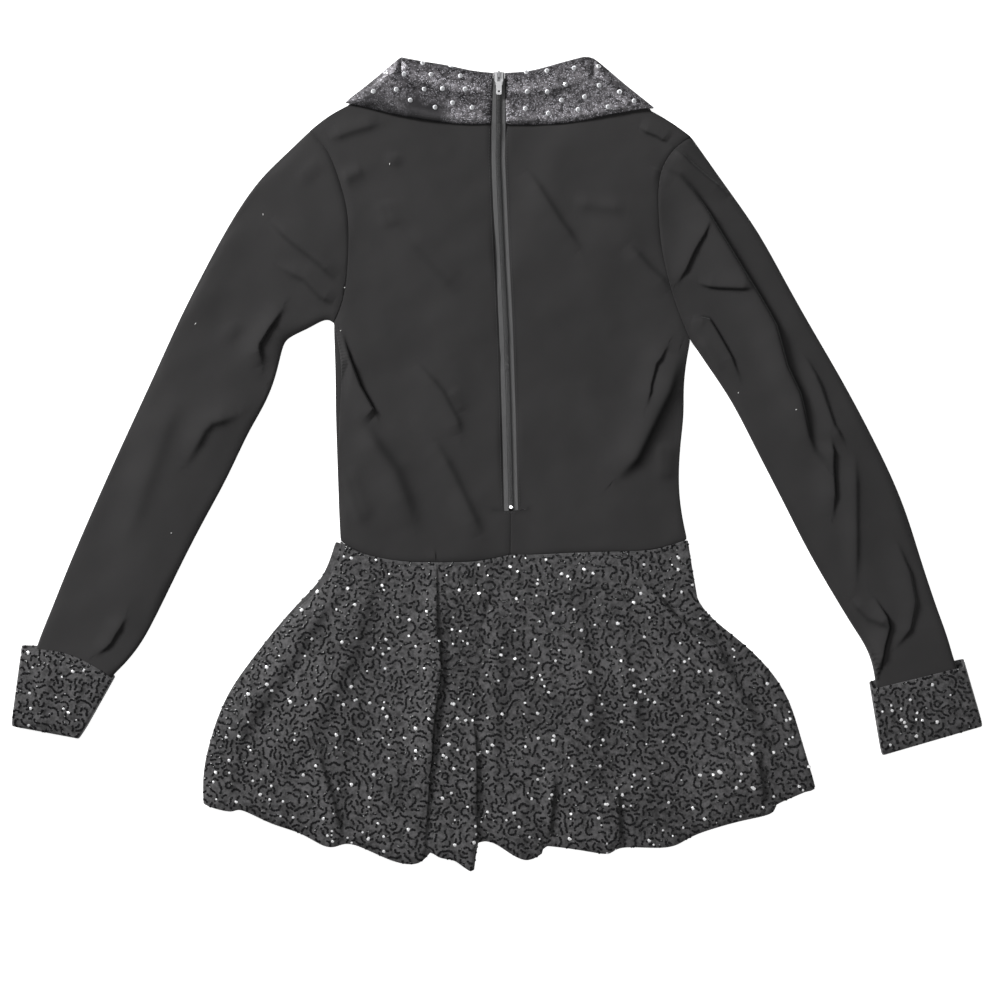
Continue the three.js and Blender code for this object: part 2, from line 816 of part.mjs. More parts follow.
function skirtBack() {
  const count = (HEM.length - 1) * HEM_STEPS;
  const hemCurve = curve(HEM);
  const bottom = Array.from({ length: count + 1 }, (_, n) => hemCurve.getPoint(n / count));
  const span = bottom[count].x - bottom[0].x;
  const waist = curve(WAIST);
  const top = bottom.map((at) => waist.getPointAt(clamp((at.x - bottom[0].x) / span, 0, 1)));
  top.forEach((at) => at.setY(at.y - SEAM));
  const left = skirtSide(SKIRT_LEFT, SKIRT_STEPS, true);
  const right = skirtSide(SKIRT_RIGHT, SKIRT_STEPS, true);
  top[0].copy(left[SKIRT_STEPS]);
  top[count].copy(right[SKIRT_STEPS]);
  const rises = new THREE.SplineCurve(HEM.map((row, n) => new THREE.Vector2(n, row.rise)));
  const under = (x, y, i, j) => {
    const fade = (1 - j / SKIRT_STEPS) ** HEM_FADE;
    return upperUnder(x, y) + Math.max(0, rises.getPoint(i / count).y) * fade;
  };
  addSequin('skirt_back', layer(patch(bottom, top, left, right), under, CLOTH));
}

const SKIRT_FRONT_ACROSS = 20;
const SKIRT_FRONT_UP = 8;

function skirtFront() {
  const left = skirtSide(SKIRT_LEFT, SKIRT_FRONT_UP, false);
  const right = skirtSide(SKIRT_RIGHT, SKIRT_FRONT_UP, false);
  const bottom = Array.from({ length: SKIRT_FRONT_ACROSS + 1 }, (_, n) => {
    const x = lerp(left[0].x, right[0].x, n / SKIRT_FRONT_ACROSS);
    const bend = 1 - ((x - FRONT_HEM.centre) / FRONT_HEM.half) ** 2;
    return new THREE.Vector2(x, FRONT_HEM.y - FRONT_HEM.sag * bend);
  });
  left[0].copy(bottom[0]);
  right[0].copy(bottom[SKIRT_FRONT_ACROSS]);
  const top = steps(curve(WAIST), SKIRT_FRONT_ACROSS);
  top.forEach((at) => at.setY(at.y - SEAM));
  top[0].copy(left[SKIRT_FRONT_UP]);
  top[SKIRT_FRONT_ACROSS].copy(right[SKIRT_FRONT_UP]);
  addSequin('skirt_front', layer(patch(bottom, top, left, right), () => 0, CLOTH));
}

const ZIP_STEPS = 26;

// A strip along the zip between two offsets from its centre line
function strip(name, fromY, toY, fromHalf, toHalf, high, addPiece) {
  addPiece(name, wall(1, ZIP_STEPS, (i, j, top) => {
    const y = lerp(fromY, toY, j / ZIP_STEPS);
    const x = centreX(y) + (i === 0 ? fromHalf(y) : toHalf(y));
    return new THREE.Vector3(x, y, zipUnder(centreX(y), y) + (top ? high : 0));
  }));
}

function zipTapes() {
  const innerHalf = COIL_HALF + GAP;
  strip('zip_tape_left', ZIP_END_Y, TAPE_TOP_Y, (y) => -zipHalf(y), () => -innerHalf, TAPE, addTape);
  strip('zip_tape_right', ZIP_END_Y, TAPE_TOP_Y, () => innerHalf, (y) => zipHalf(y), TAPE, addTape);
  const coilFromY = STOP_Y + STOP_RADIUS + GAP;
  strip('zip_coil', coilFromY, COIL_TOP_Y, () => -COIL_HALF, () => COIL_HALF, COIL_HIGH, addTape);
}

function zipStop() {
  const stop = new THREE.CylinderGeometry(STOP_RADIUS, STOP_RADIUS, STOP_HIGH, STOP_SIDES);
  stop.rotateX(Math.PI / 2);
  const x = centreX(STOP_Y);
  stop.translate(x, STOP_Y, zipUnder(x, STOP_Y) + STOP_HIGH / 2);
  addMetal('zip_stop', stop);
}

function solid(geometry) {
  const bare = geometry.clone();
  bare.deleteAttribute('normal');
  bare.deleteAttribute('uv');
  const merged = mergeVertices(bare);
  return new wasm.Manifold(new wasm.Mesh({
    numProp: 3,
    vertProperties: Float32Array.from(merged.attributes.position.array),
    triVerts: Uint32Array.from(merged.index.array),
  }));
}

function geometryOf(manifold) {
  const { vertProperties, triVerts } = manifold.getMesh();
  const geometry = new THREE.BufferGeometry();
  geometry.setAttribute('position', new THREE.BufferAttribute(vertProperties, 3));
  geometry.setIndex(new THREE.BufferAttribute(triVerts, 1));
  geometry.computeVertexNormals();
  return geometry;
}

function outline(corners) {
  return new THREE.Shape(corners.map(([x, y]) => new THREE.Vector2(x, y)));
}

// Slider: a channel over the coil with a bridge on it that the pull tab hangs from
const SLIDER_X = centreX(SLIDER_TO_Y);
const SLIDER_LEVEL = Math.max(zipUnder(SLIDER_X, SLIDER_FROM_Y), zipUnder(SLIDER_X, SLIDER_TO_Y));
const PLATE_UNDER = SLIDER_LEVEL + COIL_HIGH + GAP;
const PLATE_TOP = PLATE_UNDER + SLIDER_PLATE;

function zipSlider() {
  const foot = SLIDER_LEVEL + TAPE + GAP;
  const innerHalf = SLIDER_HALF - SLIDER_FLANGE;
  const channel = new THREE.ExtrudeGeometry(outline([
    [-SLIDER_HALF, foot], [-innerHalf, foot], [-innerHalf, PLATE_UNDER], [innerHalf, PLATE_UNDER],
    [innerHalf, foot], [SLIDER_HALF, foot], [SLIDER_HALF, PLATE_TOP], [-SLIDER_HALF, PLATE_TOP],
  ]), { depth: SLIDER_TO_Y - SLIDER_FROM_Y, bevelEnabled: false });
  channel.rotateX(Math.PI / 2);
  channel.translate(SLIDER_X, SLIDER_TO_Y, 0);

  const seat = SLIDER_PLATE / 2;
  const arch = outline([
    [BRIDGE.fromY, -seat], [BRIDGE.toY - BRIDGE.noseBack, -seat], [BRIDGE.toY, BRIDGE.noseHigh],
    [BRIDGE.toY - BRIDGE.noseLean, BRIDGE.high], [BRIDGE.fromY + BRIDGE.tailLean, BRIDGE.high],
    [BRIDGE.fromY, BRIDGE.high / 2],
  ]);
  arch.holes.push(new THREE.Path([
    [BRIDGE.holeFromY, 0], [BRIDGE.holeFromY, BRIDGE.holeSide],
    [BRIDGE.holeFromY + BRIDGE.holeLean, BRIDGE.holeHigh], [BRIDGE.holeToY, BRIDGE.holeHigh],
    [BRIDGE.holeToY, 0],
  ].map(([x, y]) => new THREE.Vector2(x, y))));
  const bridge = new THREE.ExtrudeGeometry(arch, { depth: 2 * BRIDGE.half, bevelEnabled: false });
  bridge.rotateX(Math.PI / 2);
  bridge.rotateZ(Math.PI / 2);
  bridge.translate(SLIDER_X - BRIDGE.half, 0, PLATE_TOP);
  addMetal('zip_slider', geometryOf(solid(channel).add(solid(bridge))));
}

function zipPullTab() {
  const end = TAB.axisY - TAB.length + TAB.barHalf;
  const top = TAB.axisY + TAB.barHalf;
  const waistY = TAB.axisY - TAB.windowLong - TAB.shoulder;
  const side = [
    [TAB.bottomHalf - TAB.endCut, end], [TAB.bottomHalf, end + TAB.endHigh],
    [TAB.bottomHalf + TAB.taper, waistY], [TAB.topHalf, waistY + TAB.shoulder],
    [TAB.topHalf, top - TAB.topCut], [TAB.topHalf - TAB.topCut, top],
  ];
  const shape = outline([...side, ...side.map(([x, y]) => [-x, y]).reverse()]);
  const windowTop = TAB.axisY - TAB.barHalf;
  shape.holes.push(new THREE.Path([
    [-TAB.windowHalf, windowTop], [-TAB.windowHalf, windowTop - TAB.windowLong],
    [TAB.windowHalf, windowTop - TAB.windowLong], [TAB.windowHalf, windowTop],
  ].map(([x, y]) => new THREE.Vector2(x, y))));
  const eye = new THREE.Path();
  eye.absarc(0, end + TAB.holeFromEnd, TAB.holeRadius, 0, 2 * Math.PI, true);
  shape.holes.push(eye);
  const tab = new THREE.ExtrudeGeometry(shape, {
    depth: TAB.thick,
    bevelEnabled: false,
    curveSegments: TAB.holeSteps,
  });
  tab.translate(SLIDER_X, 0, PLATE_TOP + TAB.axisUp - TAB.thick / 2);
  addMetal('zip_pull_tab', tab);
}

front();
skirtFront();
skirtBack();
for (const half of [LEFT, RIGHT]) {
  lapel(half);
  backPanel(half);
  sleeve(half);
  cuff(half);
  collar(half);
}
zipTapes();
zipStop();
zipSlider();
zipPullTab();

export default meshes;
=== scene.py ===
"""A long-sleeved blazer dress laid flat with its back up, dressed for the render. Sizes are in metres."""

import math
import random

import bmesh
import bpy
import numpy as np
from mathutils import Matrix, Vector
from mathutils.bvhtree import BVHTree
from mathutils.kdtree import KDTree


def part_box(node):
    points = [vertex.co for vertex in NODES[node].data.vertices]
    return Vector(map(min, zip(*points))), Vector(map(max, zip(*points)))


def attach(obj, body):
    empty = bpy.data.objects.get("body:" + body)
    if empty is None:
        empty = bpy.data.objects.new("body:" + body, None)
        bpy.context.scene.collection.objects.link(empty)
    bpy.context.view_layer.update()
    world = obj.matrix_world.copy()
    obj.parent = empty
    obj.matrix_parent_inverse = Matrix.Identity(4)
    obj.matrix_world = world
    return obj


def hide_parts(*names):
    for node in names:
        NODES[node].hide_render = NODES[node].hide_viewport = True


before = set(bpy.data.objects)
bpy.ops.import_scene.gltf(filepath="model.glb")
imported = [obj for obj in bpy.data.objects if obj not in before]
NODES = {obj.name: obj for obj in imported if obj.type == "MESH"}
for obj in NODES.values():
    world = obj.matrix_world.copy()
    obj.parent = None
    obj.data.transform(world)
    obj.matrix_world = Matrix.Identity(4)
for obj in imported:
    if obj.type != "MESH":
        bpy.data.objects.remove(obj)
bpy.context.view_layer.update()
MM = 0.001
SEED = 41

# The photograph's frame: metres a pixel, and the pixel over the garment's own origin
PHOTO_SCALE = 0.93 * MM
PHOTO_SIDE = 1000
PHOTO_ORIGIN = (496.5, 463.5)
LENS = 85
SENSOR = 36


def spot(px, py):
    """The place on the garment that a pixel of the photograph shows."""
    return Vector(((px - PHOTO_ORIGIN[0]) * PHOTO_SCALE, (PHOTO_ORIGIN[1] - py) * PHOTO_SCALE, 0))


def placed(name, data):
    """A new object in the scene with this data."""
    made = bpy.data.objects.new(name, data)
    bpy.context.scene.collection.objects.link(made)
    return made


def finished_mesh(name, work):
    """Ends the work on a bmesh and gives its result as a mesh."""
    mesh = bpy.data.meshes.new(name)
    work.to_mesh(mesh)
    work.free()
    return mesh


def make_camera():
    data = bpy.data.cameras.new("camera")
    data.lens = LENS
    data.sensor_width = SENSOR
    camera = placed("camera", data)
    centre = spot(PHOTO_SIDE / 2, PHOTO_SIDE / 2)
    camera.location = (centre.x, centre.y, PHOTO_SIDE * PHOTO_SCALE * LENS / SENSOR)
    bpy.context.scene.camera = camera


make_camera()


# Shader helpers
def new_material(name, roughness, metallic=0.0, **sockets):
    """A material with its Principled shader; sockets are set by name, with spaces as underscores."""
    made = bpy.data.materials.new(name)
    made.use_nodes = True
    shader = made.node_tree.nodes["Principled BSDF"]
    shader.inputs["Roughness"].default_value = roughness
    shader.inputs["Metallic"].default_value = metallic
    for label, value in sockets.items():
        shader.inputs[label.replace("_", " ").title().replace("Ior", "IOR")].default_value = value
    return made, made.node_tree, shader


def add_node(tree, kind, **settings):
    node = tree.nodes.new(kind)
    for label, value in settings.items():
        if label in node.inputs:
            node.inputs[label].default_value = value
        else:
            setattr(node, label, value)
    return node


def new_group(name, inputs, outputs):
    """An empty shader node group with number inputs and with colour or number outputs."""
    group = bpy.data.node_groups.new(name, "ShaderNodeTree")
    for label, value in inputs.items():
        socket = group.interface.new_socket(label, in_out="INPUT", socket_type="NodeSocketFloat")
        socket.default_value = value
    for label, kind in outputs.items():
        group.interface.new_socket(label, in_out="OUTPUT", socket_type=kind)
    return group, group.nodes.new("NodeGroupInput"), group.nodes.new("NodeGroupOutput")


def use_group(tree, group, **values):
    node = tree.nodes.new("ShaderNodeGroup")
    node.node_tree = group
    for label, value in values.items():
        node.inputs[label.replace("_", " ")].default_value = value
    return node


def math_node(tree, operation, first, second):
    node = tree.nodes.new("ShaderNodeMath")
    node.operation = operation
    for socket, value in zip(node.inputs, (first, second)):
        if isinstance(value, (int, float)):
            socket.default_value = value
        else:
            tree.links.new(value, socket)
    return node.outputs[0]


def mix_colour(tree, share, first, second):
    """A colour between two others, each given as three numbers or as a socket."""
    node = tree.nodes.new("ShaderNodeMix")
    node.data_type = "RGBA"
    for socket, value in zip((node.inputs[0], node.inputs[6], node.inputs[7]), (share, first, second)):
        if isinstance(value, tuple):
            socket.default_value = (*value, 1)
        else:
            tree.links.new(value, socket)
    return node.outputs[2]


def ribs_group():
    """Fine wales and courses of a knit or weave: a height, and a slow unevenness, which is the dye's tone on
    most cloths and painted sheen on the satin.
    """
    group, inputs, outputs = new_group(
        "cloth_ribs", {"Wale": 1.1 * MM, "Course": 0.8 * MM, "Slub": 0.3},
        {"Height": "NodeSocketFloat", "Dye_and_sheen": "NodeSocketFloat"})
    links = group.links
    where = group.nodes.new("ShaderNodeTexCoord")
    parts = group.nodes.new("ShaderNodeSeparateXYZ")
    links.new(where.outputs["Object"], parts.inputs[0])
    across = math_node(group, "DIVIDE", parts.outputs["X"], inputs.outputs["Wale"])
    along = math_node(group, "DIVIDE", parts.outputs["Y"], inputs.outputs["Course"])
    wale = math_node(group, "SINE", math_node(group, "MULTIPLY", across, math.tau), 0)
    course = math_node(group, "SINE", math_node(group, "MULTIPLY", along, math.tau), 0)
    slub = add_node(group, "ShaderNodeTexNoise", Scale=900.0, Detail=2.0)
    links.new(where.outputs["Object"], slub.inputs["Vector"])
    lifted = math_node(group, "ADD", math_node(group, "MULTIPLY", wale, course),
                       math_node(group, "MULTIPLY", slub.outputs[0], inputs.outputs["Slub"]))
    links.new(lifted, outputs.inputs["Height"])
    dye_and_sheen = add_node(group, "ShaderNodeTexNoise", Scale=14.0, Detail=5.0)
    links.new(where.outputs["Object"], dye_and_sheen.inputs["Vector"])
    links.new(dye_and_sheen.outputs[0], outputs.inputs["Dye_and_sheen"])
    return group


def glitter_group():
    """A mask of tiny flakes, of which only the brightest few cells show, and a cloudy mottle."""
    group, inputs, outputs = new_group(
        "glitter_flakes", {"Scale": 900.0, "Share": 0.9},
        {"Mask": "NodeSocketFloat", "Mottle": "NodeSocketFloat"})
    links = group.links
    where = group.nodes.new("ShaderNodeTexCoord")
    cells = add_node(group, "ShaderNodeTexVoronoi", feature="F1")
    links.new(where.outputs["Object"], cells.inputs["Vector"])
    links.new(inputs.outputs["Scale"], cells.inputs["Scale"])
    shade = group.nodes.new("ShaderNodeSeparateColor")
    links.new(cells.outputs["Color"], shade.inputs[0])
    shows = math_node(group, "GREATER_THAN", shade.outputs[0], inputs.outputs["Share"])
    links.new(shows, outputs.inputs["Mask"])
    mottle = add_node(group, "ShaderNodeTexNoise", Scale=240.0, Detail=6.0, Roughness=0.7)
    links.new(where.outputs["Object"], mottle.inputs["Vector"])
    links.new(mottle.outputs[0], outputs.inputs["Mottle"])
    return group


RIBS = ribs_group()
GLITTER = glitter_group()


def stretched(tree, value, low, span):
    """A pattern's value with more contrast: low becomes 0, and low plus span becomes 1."""
    return math_node(tree, "DIVIDE", math_node(tree, "SUBTRACT", value, low), span)


# Painted shade: the near black that crease depths and rims are mixed toward
PAINTED_SHADE_COLOUR = (0.003, 0.003, 0.0031)


def with_painted_shade(tree, colour, strength):
    """The colour with painted shade: darker in the depths of creases and at rims, as the cloth's per-point
    shade attribute gives it.
    """
    depth = add_node(tree, "ShaderNodeAttribute", attribute_name="painted_shade")
    share = math_node(tree, "MULTIPLY", depth.outputs["Fac"], strength)
    return mix_colour(tree, share, colour, PAINTED_SHADE_COLOUR)


def cloth_bump(tree, shader, height, distance, strength):
    bump = add_node(tree, "ShaderNodeBump", Distance=distance, Strength=strength)
    tree.links.new(height, bump.inputs["Height"])
    tree.links.new(bump.outputs[0], shader.inputs["Normal"])


def knit_material():
    made, tree, shader = new_material("black_knit", 0.86, sheen_weight=0.12, sheen_roughness=0.5)
    shader.inputs["Specular IOR Level"].default_value = 0.2
    ribs = use_group(tree, RIBS, Wale=1.0 * MM, Course=0.7 * MM, Slub=0.6)
    colour = mix_colour(tree, ribs.outputs["Dye_and_sheen"], (0.0215, 0.0208, 0.0212), (0.033, 0.0317, 0.0323))
    # Painted shade: near black in crease depths and at rims
    tree.links.new(with_painted_shade(tree, colour, 0.96), shader.inputs["Base Color"])
    cloth_bump(tree, shader, ribs.outputs["Height"], 0.12 * MM, 0.35)
    return made


def sequin_ground_material():
    made, tree, shader = new_material("sequin_ground", 0.7, sheen_weight=0.15)
    ribs = use_group(tree, RIBS, Wale=1.3 * MM, Course=1.3 * MM, Slub=0.8)
    glitter = use_group(tree, GLITTER)
    patches = stretched(tree, glitter.outputs["Mottle"], 0.38, 0.24)
    share = math_node(tree, "ADD", patches, math_node(tree, "SUBTRACT", ribs.outputs["Dye_and_sheen"], 0.5))
    colour = mix_colour(tree, share, (0.015, 0.0145, 0.0152), (0.09, 0.0877, 0.0905))
    # Painted shade: near black in crease depths and at rims
    tree.links.new(with_painted_shade(tree, colour, 0.92), shader.inputs["Base Color"])
    cloth_bump(tree, shader, ribs.outputs["Height"], 0.2 * MM, 0.6)
    return made


# The sequin cloth's plain wrong side, darker than its ground: partly its own colour, partly painted shade
# where the skirt layers meet
def backing_with_painted_shade_material():
    made, tree, shader = new_material("sequin_backing_with_painted_shade", 0.85)
    ribs = use_group(tree, RIBS, Wale=1.3 * MM, Course=1.3 * MM, Slub=0.8)
    colour = mix_colour(tree, ribs.outputs["Dye_and_sheen"], (0.008, 0.008, 0.0085), (0.02, 0.0195, 0.0205))
    tree.links.new(colour, shader.inputs["Base Color"])
    cloth_bump(tree, shader, ribs.outputs["Height"], 0.15 * MM, 0.5)
    return made


def sequin_material():
    made, tree, shader = new_material("black_sequins", 0.22)
    shader.inputs["Specular IOR Level"].default_value = 0.3
    glitter = use_group(tree, GLITTER)
    colour = mix_colour(tree, glitter.outputs["Mottle"], (0.002, 0.002, 0.0024), (0.011, 0.011, 0.012))
    tree.links.new(colour, shader.inputs["Base Color"])
    return made


def satin_material():
    made, tree, shader = new_material("glitter_satin", 0.42, 0.6)
    flakes = use_group(tree, GLITTER, Scale=1300.0, Share=0.86)
    # Painted sheen: cloudy patches and a broad spread from dark to light stand in for the satin's
    # reflections; the flakes are its glitter
    patches = stretched(tree, flakes.outputs["Mottle"], 0.4, 0.2)
    ground = mix_colour(tree, patches, (0.035, 0.033, 0.036), (0.21, 0.2, 0.214))
    bright = mix_colour(tree, flakes.outputs["Mask"], ground, (0.5, 0.49, 0.53))
    shading = stretched(tree, use_group(tree, RIBS).outputs["Dye_and_sheen"], 0.33, 0.14)
    colour = mix_colour(tree, shading, (0.03, 0.0285, 0.031), bright)
    # Painted shade: near black in crease depths and at rims
    tree.links.new(with_painted_shade(tree, colour, 0.7), shader.inputs["Base Color"])
    polish = math_node(tree, "ADD", math_node(tree, "MULTIPLY", flakes.outputs["Mottle"], 0.2), 0.3)
    tree.links.new(polish, shader.inputs["Roughness"])
    cloth_bump(tree, shader, flakes.outputs["Mottle"], 0.3 * MM, 0.6)
    return made


def tape_material():
    made, tree, shader = new_material("zip_tape", 0.7, sheen_weight=0.15)
    ribs = use_group(tree, RIBS, Wale=0.9 * MM, Course=0.6 * MM, Slub=0.2)
    colour = mix_colour(tree, ribs.outputs["Dye_and_sheen"], (0.066, 0.066, 0.067), (0.112, 0.111, 0.113))
    tree.links.new(colour, shader.inputs["Base Color"])
    cloth_bump(tree, shader, ribs.outputs["Height"], 0.15 * MM, 0.7)
    return made


POLISH_SPAN = 0.16


def plain_material(name, dark, light, roughness, metallic=0.0):
    """A hard finish whose colour and polish wander a little."""
    made, tree, shader = new_material(name, roughness, metallic)
    mottle = use_group(tree, GLITTER).outputs["Mottle"]
    tree.links.new(mix_colour(tree, mottle, dark, light), shader.inputs["Base Color"])
    wander = math_node(tree, "MULTIPLY", mottle, POLISH_SPAN)
    polish = math_node(tree, "ADD", wander, roughness - POLISH_SPAN / 2)
    tree.links.new(polish, shader.inputs["Roughness"])
    return made


KNIT = knit_material()
GROUND = sequin_ground_material()
BACKING_WITH_PAINTED_SHADE = backing_with_painted_shade_material()
SEQUIN = sequin_material()
SATIN = satin_material()
TAPE = tape_material()
COIL = plain_material("nylon_coil", (0.02, 0.02, 0.021), (0.05, 0.05, 0.051), 0.4)
SLIDER_METAL = plain_material("slider_metal", (0.22, 0.22, 0.23), (0.5, 0.5, 0.51), 0.32, 0.7)
# Painted glints: near-white sequins that stand in for black sequins catching the light
PAINTED_GLINT_SEQUIN = plain_material("painted_glint_sequins", (0.85, 0.85, 0.87), (1.0, 1.0, 1.0), 0.3, 0.5)
NICKEL = plain_material("nickel", (0.62, 0.62, 0.64), (0.92, 0.92, 0.93), 0.26, 0.6)
# The stones' crown facets, near white and mostly matt: partly the stones' own silver, partly painted sparkle
CRYSTAL_AND_PAINTED_SPARKLE = plain_material("crystal_facets_and_painted_sparkle", (0.8, 0.82, 0.86), (0.98, 0.98, 1.0), 0.2, 0.25)
TABLE = plain_material("crystal_table", (0.6, 0.62, 0.65), (0.95, 0.95, 0.97), 0.12, 0.7)
THREAD = plain_material("black_thread", (0.012, 0.012, 0.013), (0.03, 0.03, 0.031), 0.6)
LINT = plain_material("lint", (0.6, 0.6, 0.6), (0.8, 0.8, 0.78), 0.8)


# Creases of the upper layer: the line each follows in the photograph, its half width and rise in mm,
# and how much steeper one side is than the other; the sign says which side, and its fold leans that way
UPPER_CREASES = [
    ([(345, 331), (350, 357), (361, 386), (374, 409), (380, 414)], 7, 2.0, -0.45),
    ([(365, 420), (380, 447), (397, 470), (406, 493), (417, 524)], 13, 1.4, -0.15),
    ([(419, 363), (443, 392), (457, 418), (462, 433)], 8, 0.8, -0.3),
    ([(451, 389), (458, 401), (463, 412)], 6, 0.5, 0.0),
    ([(437, 441), (455, 475), (472, 511), (483, 534)], 9, 1.0, -0.2),
    ([(346, 355), (341, 381), (338, 406)], 5, 1.2, -0.5),
    ([(348, 465), (359, 501), (367, 524)], 8, 0.8, 0.0),
    ([(395, 154), (394, 167)], 6, 0.7, 0.0),
    ([(343, 181), (364, 170)], 7, 0.8, 0.0),
    ([(330, 141), (355, 132), (381, 125)], 7, 0.8, 0.2),
    ([(386, 200), (393, 229)], 9, 0.6, 0.0),
    ([(408, 232), (435, 262), (462, 291)], 11, 0.6, 0.0),
    ([(529, 170), (546, 198), (562, 223), (582, 250)], 9, 0.9, -0.3),
    ([(629, 244), (650, 268), (672, 288)], 8, 0.9, -0.2),
    ([(573, 203), (600, 207), (625, 209)], 8, 0.7, 0.0),
    ([(670, 346), (656, 364), (650, 385), (647, 406)], 6, 1.2, -0.5),
    ([(682, 358), (670, 393), (653, 427), (638, 458), (621, 479)], 12, 1.9, -0.3),
    ([(668, 442), (665, 481)], 8, 0.9, 0.0),
    ([(269, 222), (292, 243), (319, 264), (335, 280)], 7, 1.0, 0.2),
    ([(276, 267), (304, 280), (320, 297), (333, 304)], 7, 0.9, 0.2),
    ([(287, 309), (272, 326), (261, 344), (260, 351), (266, 368)], 7, 1.8, -0.4),
    ([(242, 327), (232, 331), (225, 342)], 6, 0.7, 0.0),
    ([(242, 416), (214, 424), (206, 432), (188, 466)], 9, 1.3, -0.3),
    ([(128, 618), (117, 634), (112, 643), (99.5, 655)], 6, 1.1, -0.4),
    ([(323, 163), (309, 173), (303, 184)], 6, 0.7, 0.0),
    ([(240, 230), (215, 275), (196, 320)], 14, 0.7, 0.0),
    ([(180, 400), (155, 470), (130, 540)], 15, 0.8, -0.1),
    ([(638, 130), (656, 137), (667, 144)], 6, 1.0, 0.4),
    ([(672, 144), (690, 163), (710, 180), (730, 195)], 7, 1.3, -0.4),
    ([(669, 170), (683, 177), (695, 193), (707, 212), (722, 237), (738, 263), (755, 290), (768, 312),
      (775, 325), (786, 366), (799, 393), (809, 433), (816, 449), (826, 462)], 10, 2.6, -0.4),
    ([(808, 358), (821, 388), (834, 426), (846, 443)], 6, 1.2, -0.4),
    ([(834, 441), (833, 466), (836, 516)], 7, 1.6, -0.5),
    ([(856, 457), (856, 516), (857, 584)], 6, 0.9, -0.3),
    ([(695, 317), (710, 320), (725, 346), (741, 375)], 6, 1.3, -0.5),
    ([(698, 340), (709, 357), (720, 375)], 6, 0.8, 0.0),
    ([(707, 226), (694, 252), (680, 284)], 6, 1.3, -0.5),
    ([(697, 286), (726, 290), (747, 294)], 6, 1.1, 0.5),
    ([(899, 544), (910, 575), (915, 602), (910, 627), (898, 645)], 6, 1.2, -0.4),
    ([(850, 601), (866, 618), (884, 628)], 6, 1.1, 0.2),
    ([(878, 599), (887, 618), (889, 627), (884, 645), (880, 668), (877, 690)], 6, 1.8, -0.5),
]
SKIRT_CREASES = [
    ([(443, 561), (439, 635), (442, 667), (438, 695), (434, 727), (432, 772), (431, 850)], 6, 2.3, -0.6),
    ([(641, 573), (675, 616), (710, 642), (730, 658)], 10, 1.9, -0.5),
    ([(755, 750), (765, 802)], 8, 1.4, -0.4),
    ([(556, 772), (549, 841)], 8, 1.5, -0.4),
    ([(618, 784), (620, 848)], 8, 1.4, -0.4),
    ([(625, 649), (634, 695), (641, 740)], 10, 1.1, -0.2),
    ([(251, 800), (241, 809)], 6, 0.9, 0.0),
    ([(315, 738), (331, 790), (345, 841)], 8, 1.1, -0.4),
    ([(505, 600), (500, 680), (497, 780)], 12, 1.0, -0.2),
    ([(380, 570), (352, 660), (300, 760)], 14, 1.1, -0.2),
    ([(340, 590), (290, 665), (240, 740)], 12, 1.1, -0.3),
    ([(575, 580), (590, 680), (600, 760)], 13, 0.9, -0.2),
    ([(690, 600), (740, 690), (780, 770)], 12, 1.2, -0.3),
    ([(476, 720), (477, 780), (477, 866)], 5, 1.1, -0.6),
]
# Creases of the lower layer, on the hidden side, much softer because the garment's weight lies on it
LOWER_CREASES = [
    ([(380, 250), (410, 330), (430, 420)], 14, 0.5, 0.2),
    ([(600, 240), (580, 330), (590, 430)], 14, 0.5, -0.2),
    ([(470, 380), (500, 450), (520, 530)], 12, 0.4, 0.0),
    ([(260, 260), (230, 340), (190, 430)], 12, 0.5, 0.2),
    ([(730, 260), (780, 350), (820, 440)], 12, 0.5, -0.2),
    ([(400, 580), (370, 680), (330, 780)], 14, 0.6, 0.3),
    ([(520, 600), (525, 700), (530, 800)], 14, 0.5, 0.0),
    ([(630, 590), (670, 690), (720, 760)], 14, 0.6, -0.3),
]


# How a crease fades in and out along its line, and how much higher all creases are than the tables say
CREASE_RUNOUT = 4
CREASE_START = 0.15
CREASE_DEPTH = 1.9
# How far a sharp fold leans over its steep side, for each part of its height
CREASE_OVERHANG = 2.6
# Loose swells of the cloth: length in mm, heading, phase and height in mm, and how their crests bend
DRAPE_WAVES = [(150, 0.5, 0.3, 0.45), (97, 2.1, 1.9, 0.3), (61, 1.2, 4.0, 0.16), (38, 2.7, 2.2, 0.07),
               (23, 0.2, 5.1, 0.03)]
DRAPE_BEND = 0.35
DRAPE_BEND_LENGTH = 1.7
# The painted shade beside a fold: its half width for the fold's own, how dark it is for each mm of rise,
# how much of that a round fold has and how much a lean adds, and where the shade's middle lies in it
PAINTED_SHADE_WIDTH = 0.42
PAINTED_SHADE_DEPTH = 0.6
PAINTED_SHADE_ROUND = 0.5
PAINTED_SHADE_LEAN = 1.2
PAINTED_SHADE_MIDDLE = 0.7
# How softly the direction across a line turns at its bends
BEND_BLEND = 4 * MM


def crease_lines(table):
    """The creases in metres, each moved back so that the painted shade beside its fold falls on the line
    given.
    """
    found = []
    for pixels, width, rise, lean in table:
        line = [spot(*at) for at in pixels]
        if lean:
            run = line[-1] - line[0]
            over = Vector((run.y, -run.x, 0)).normalized() * math.copysign(1, lean)
            crest = CREASE_OVERHANG * abs(lean) * CREASE_DEPTH * abs(rise) * MM
            dark = PAINTED_SHADE_MIDDLE * PAINTED_SHADE_WIDTH * width * (1 - abs(lean)) * MM
            line = [at - over * (crest + dark) for at in line]
        found.append((line, width * MM, rise * MM, lean))
    return found


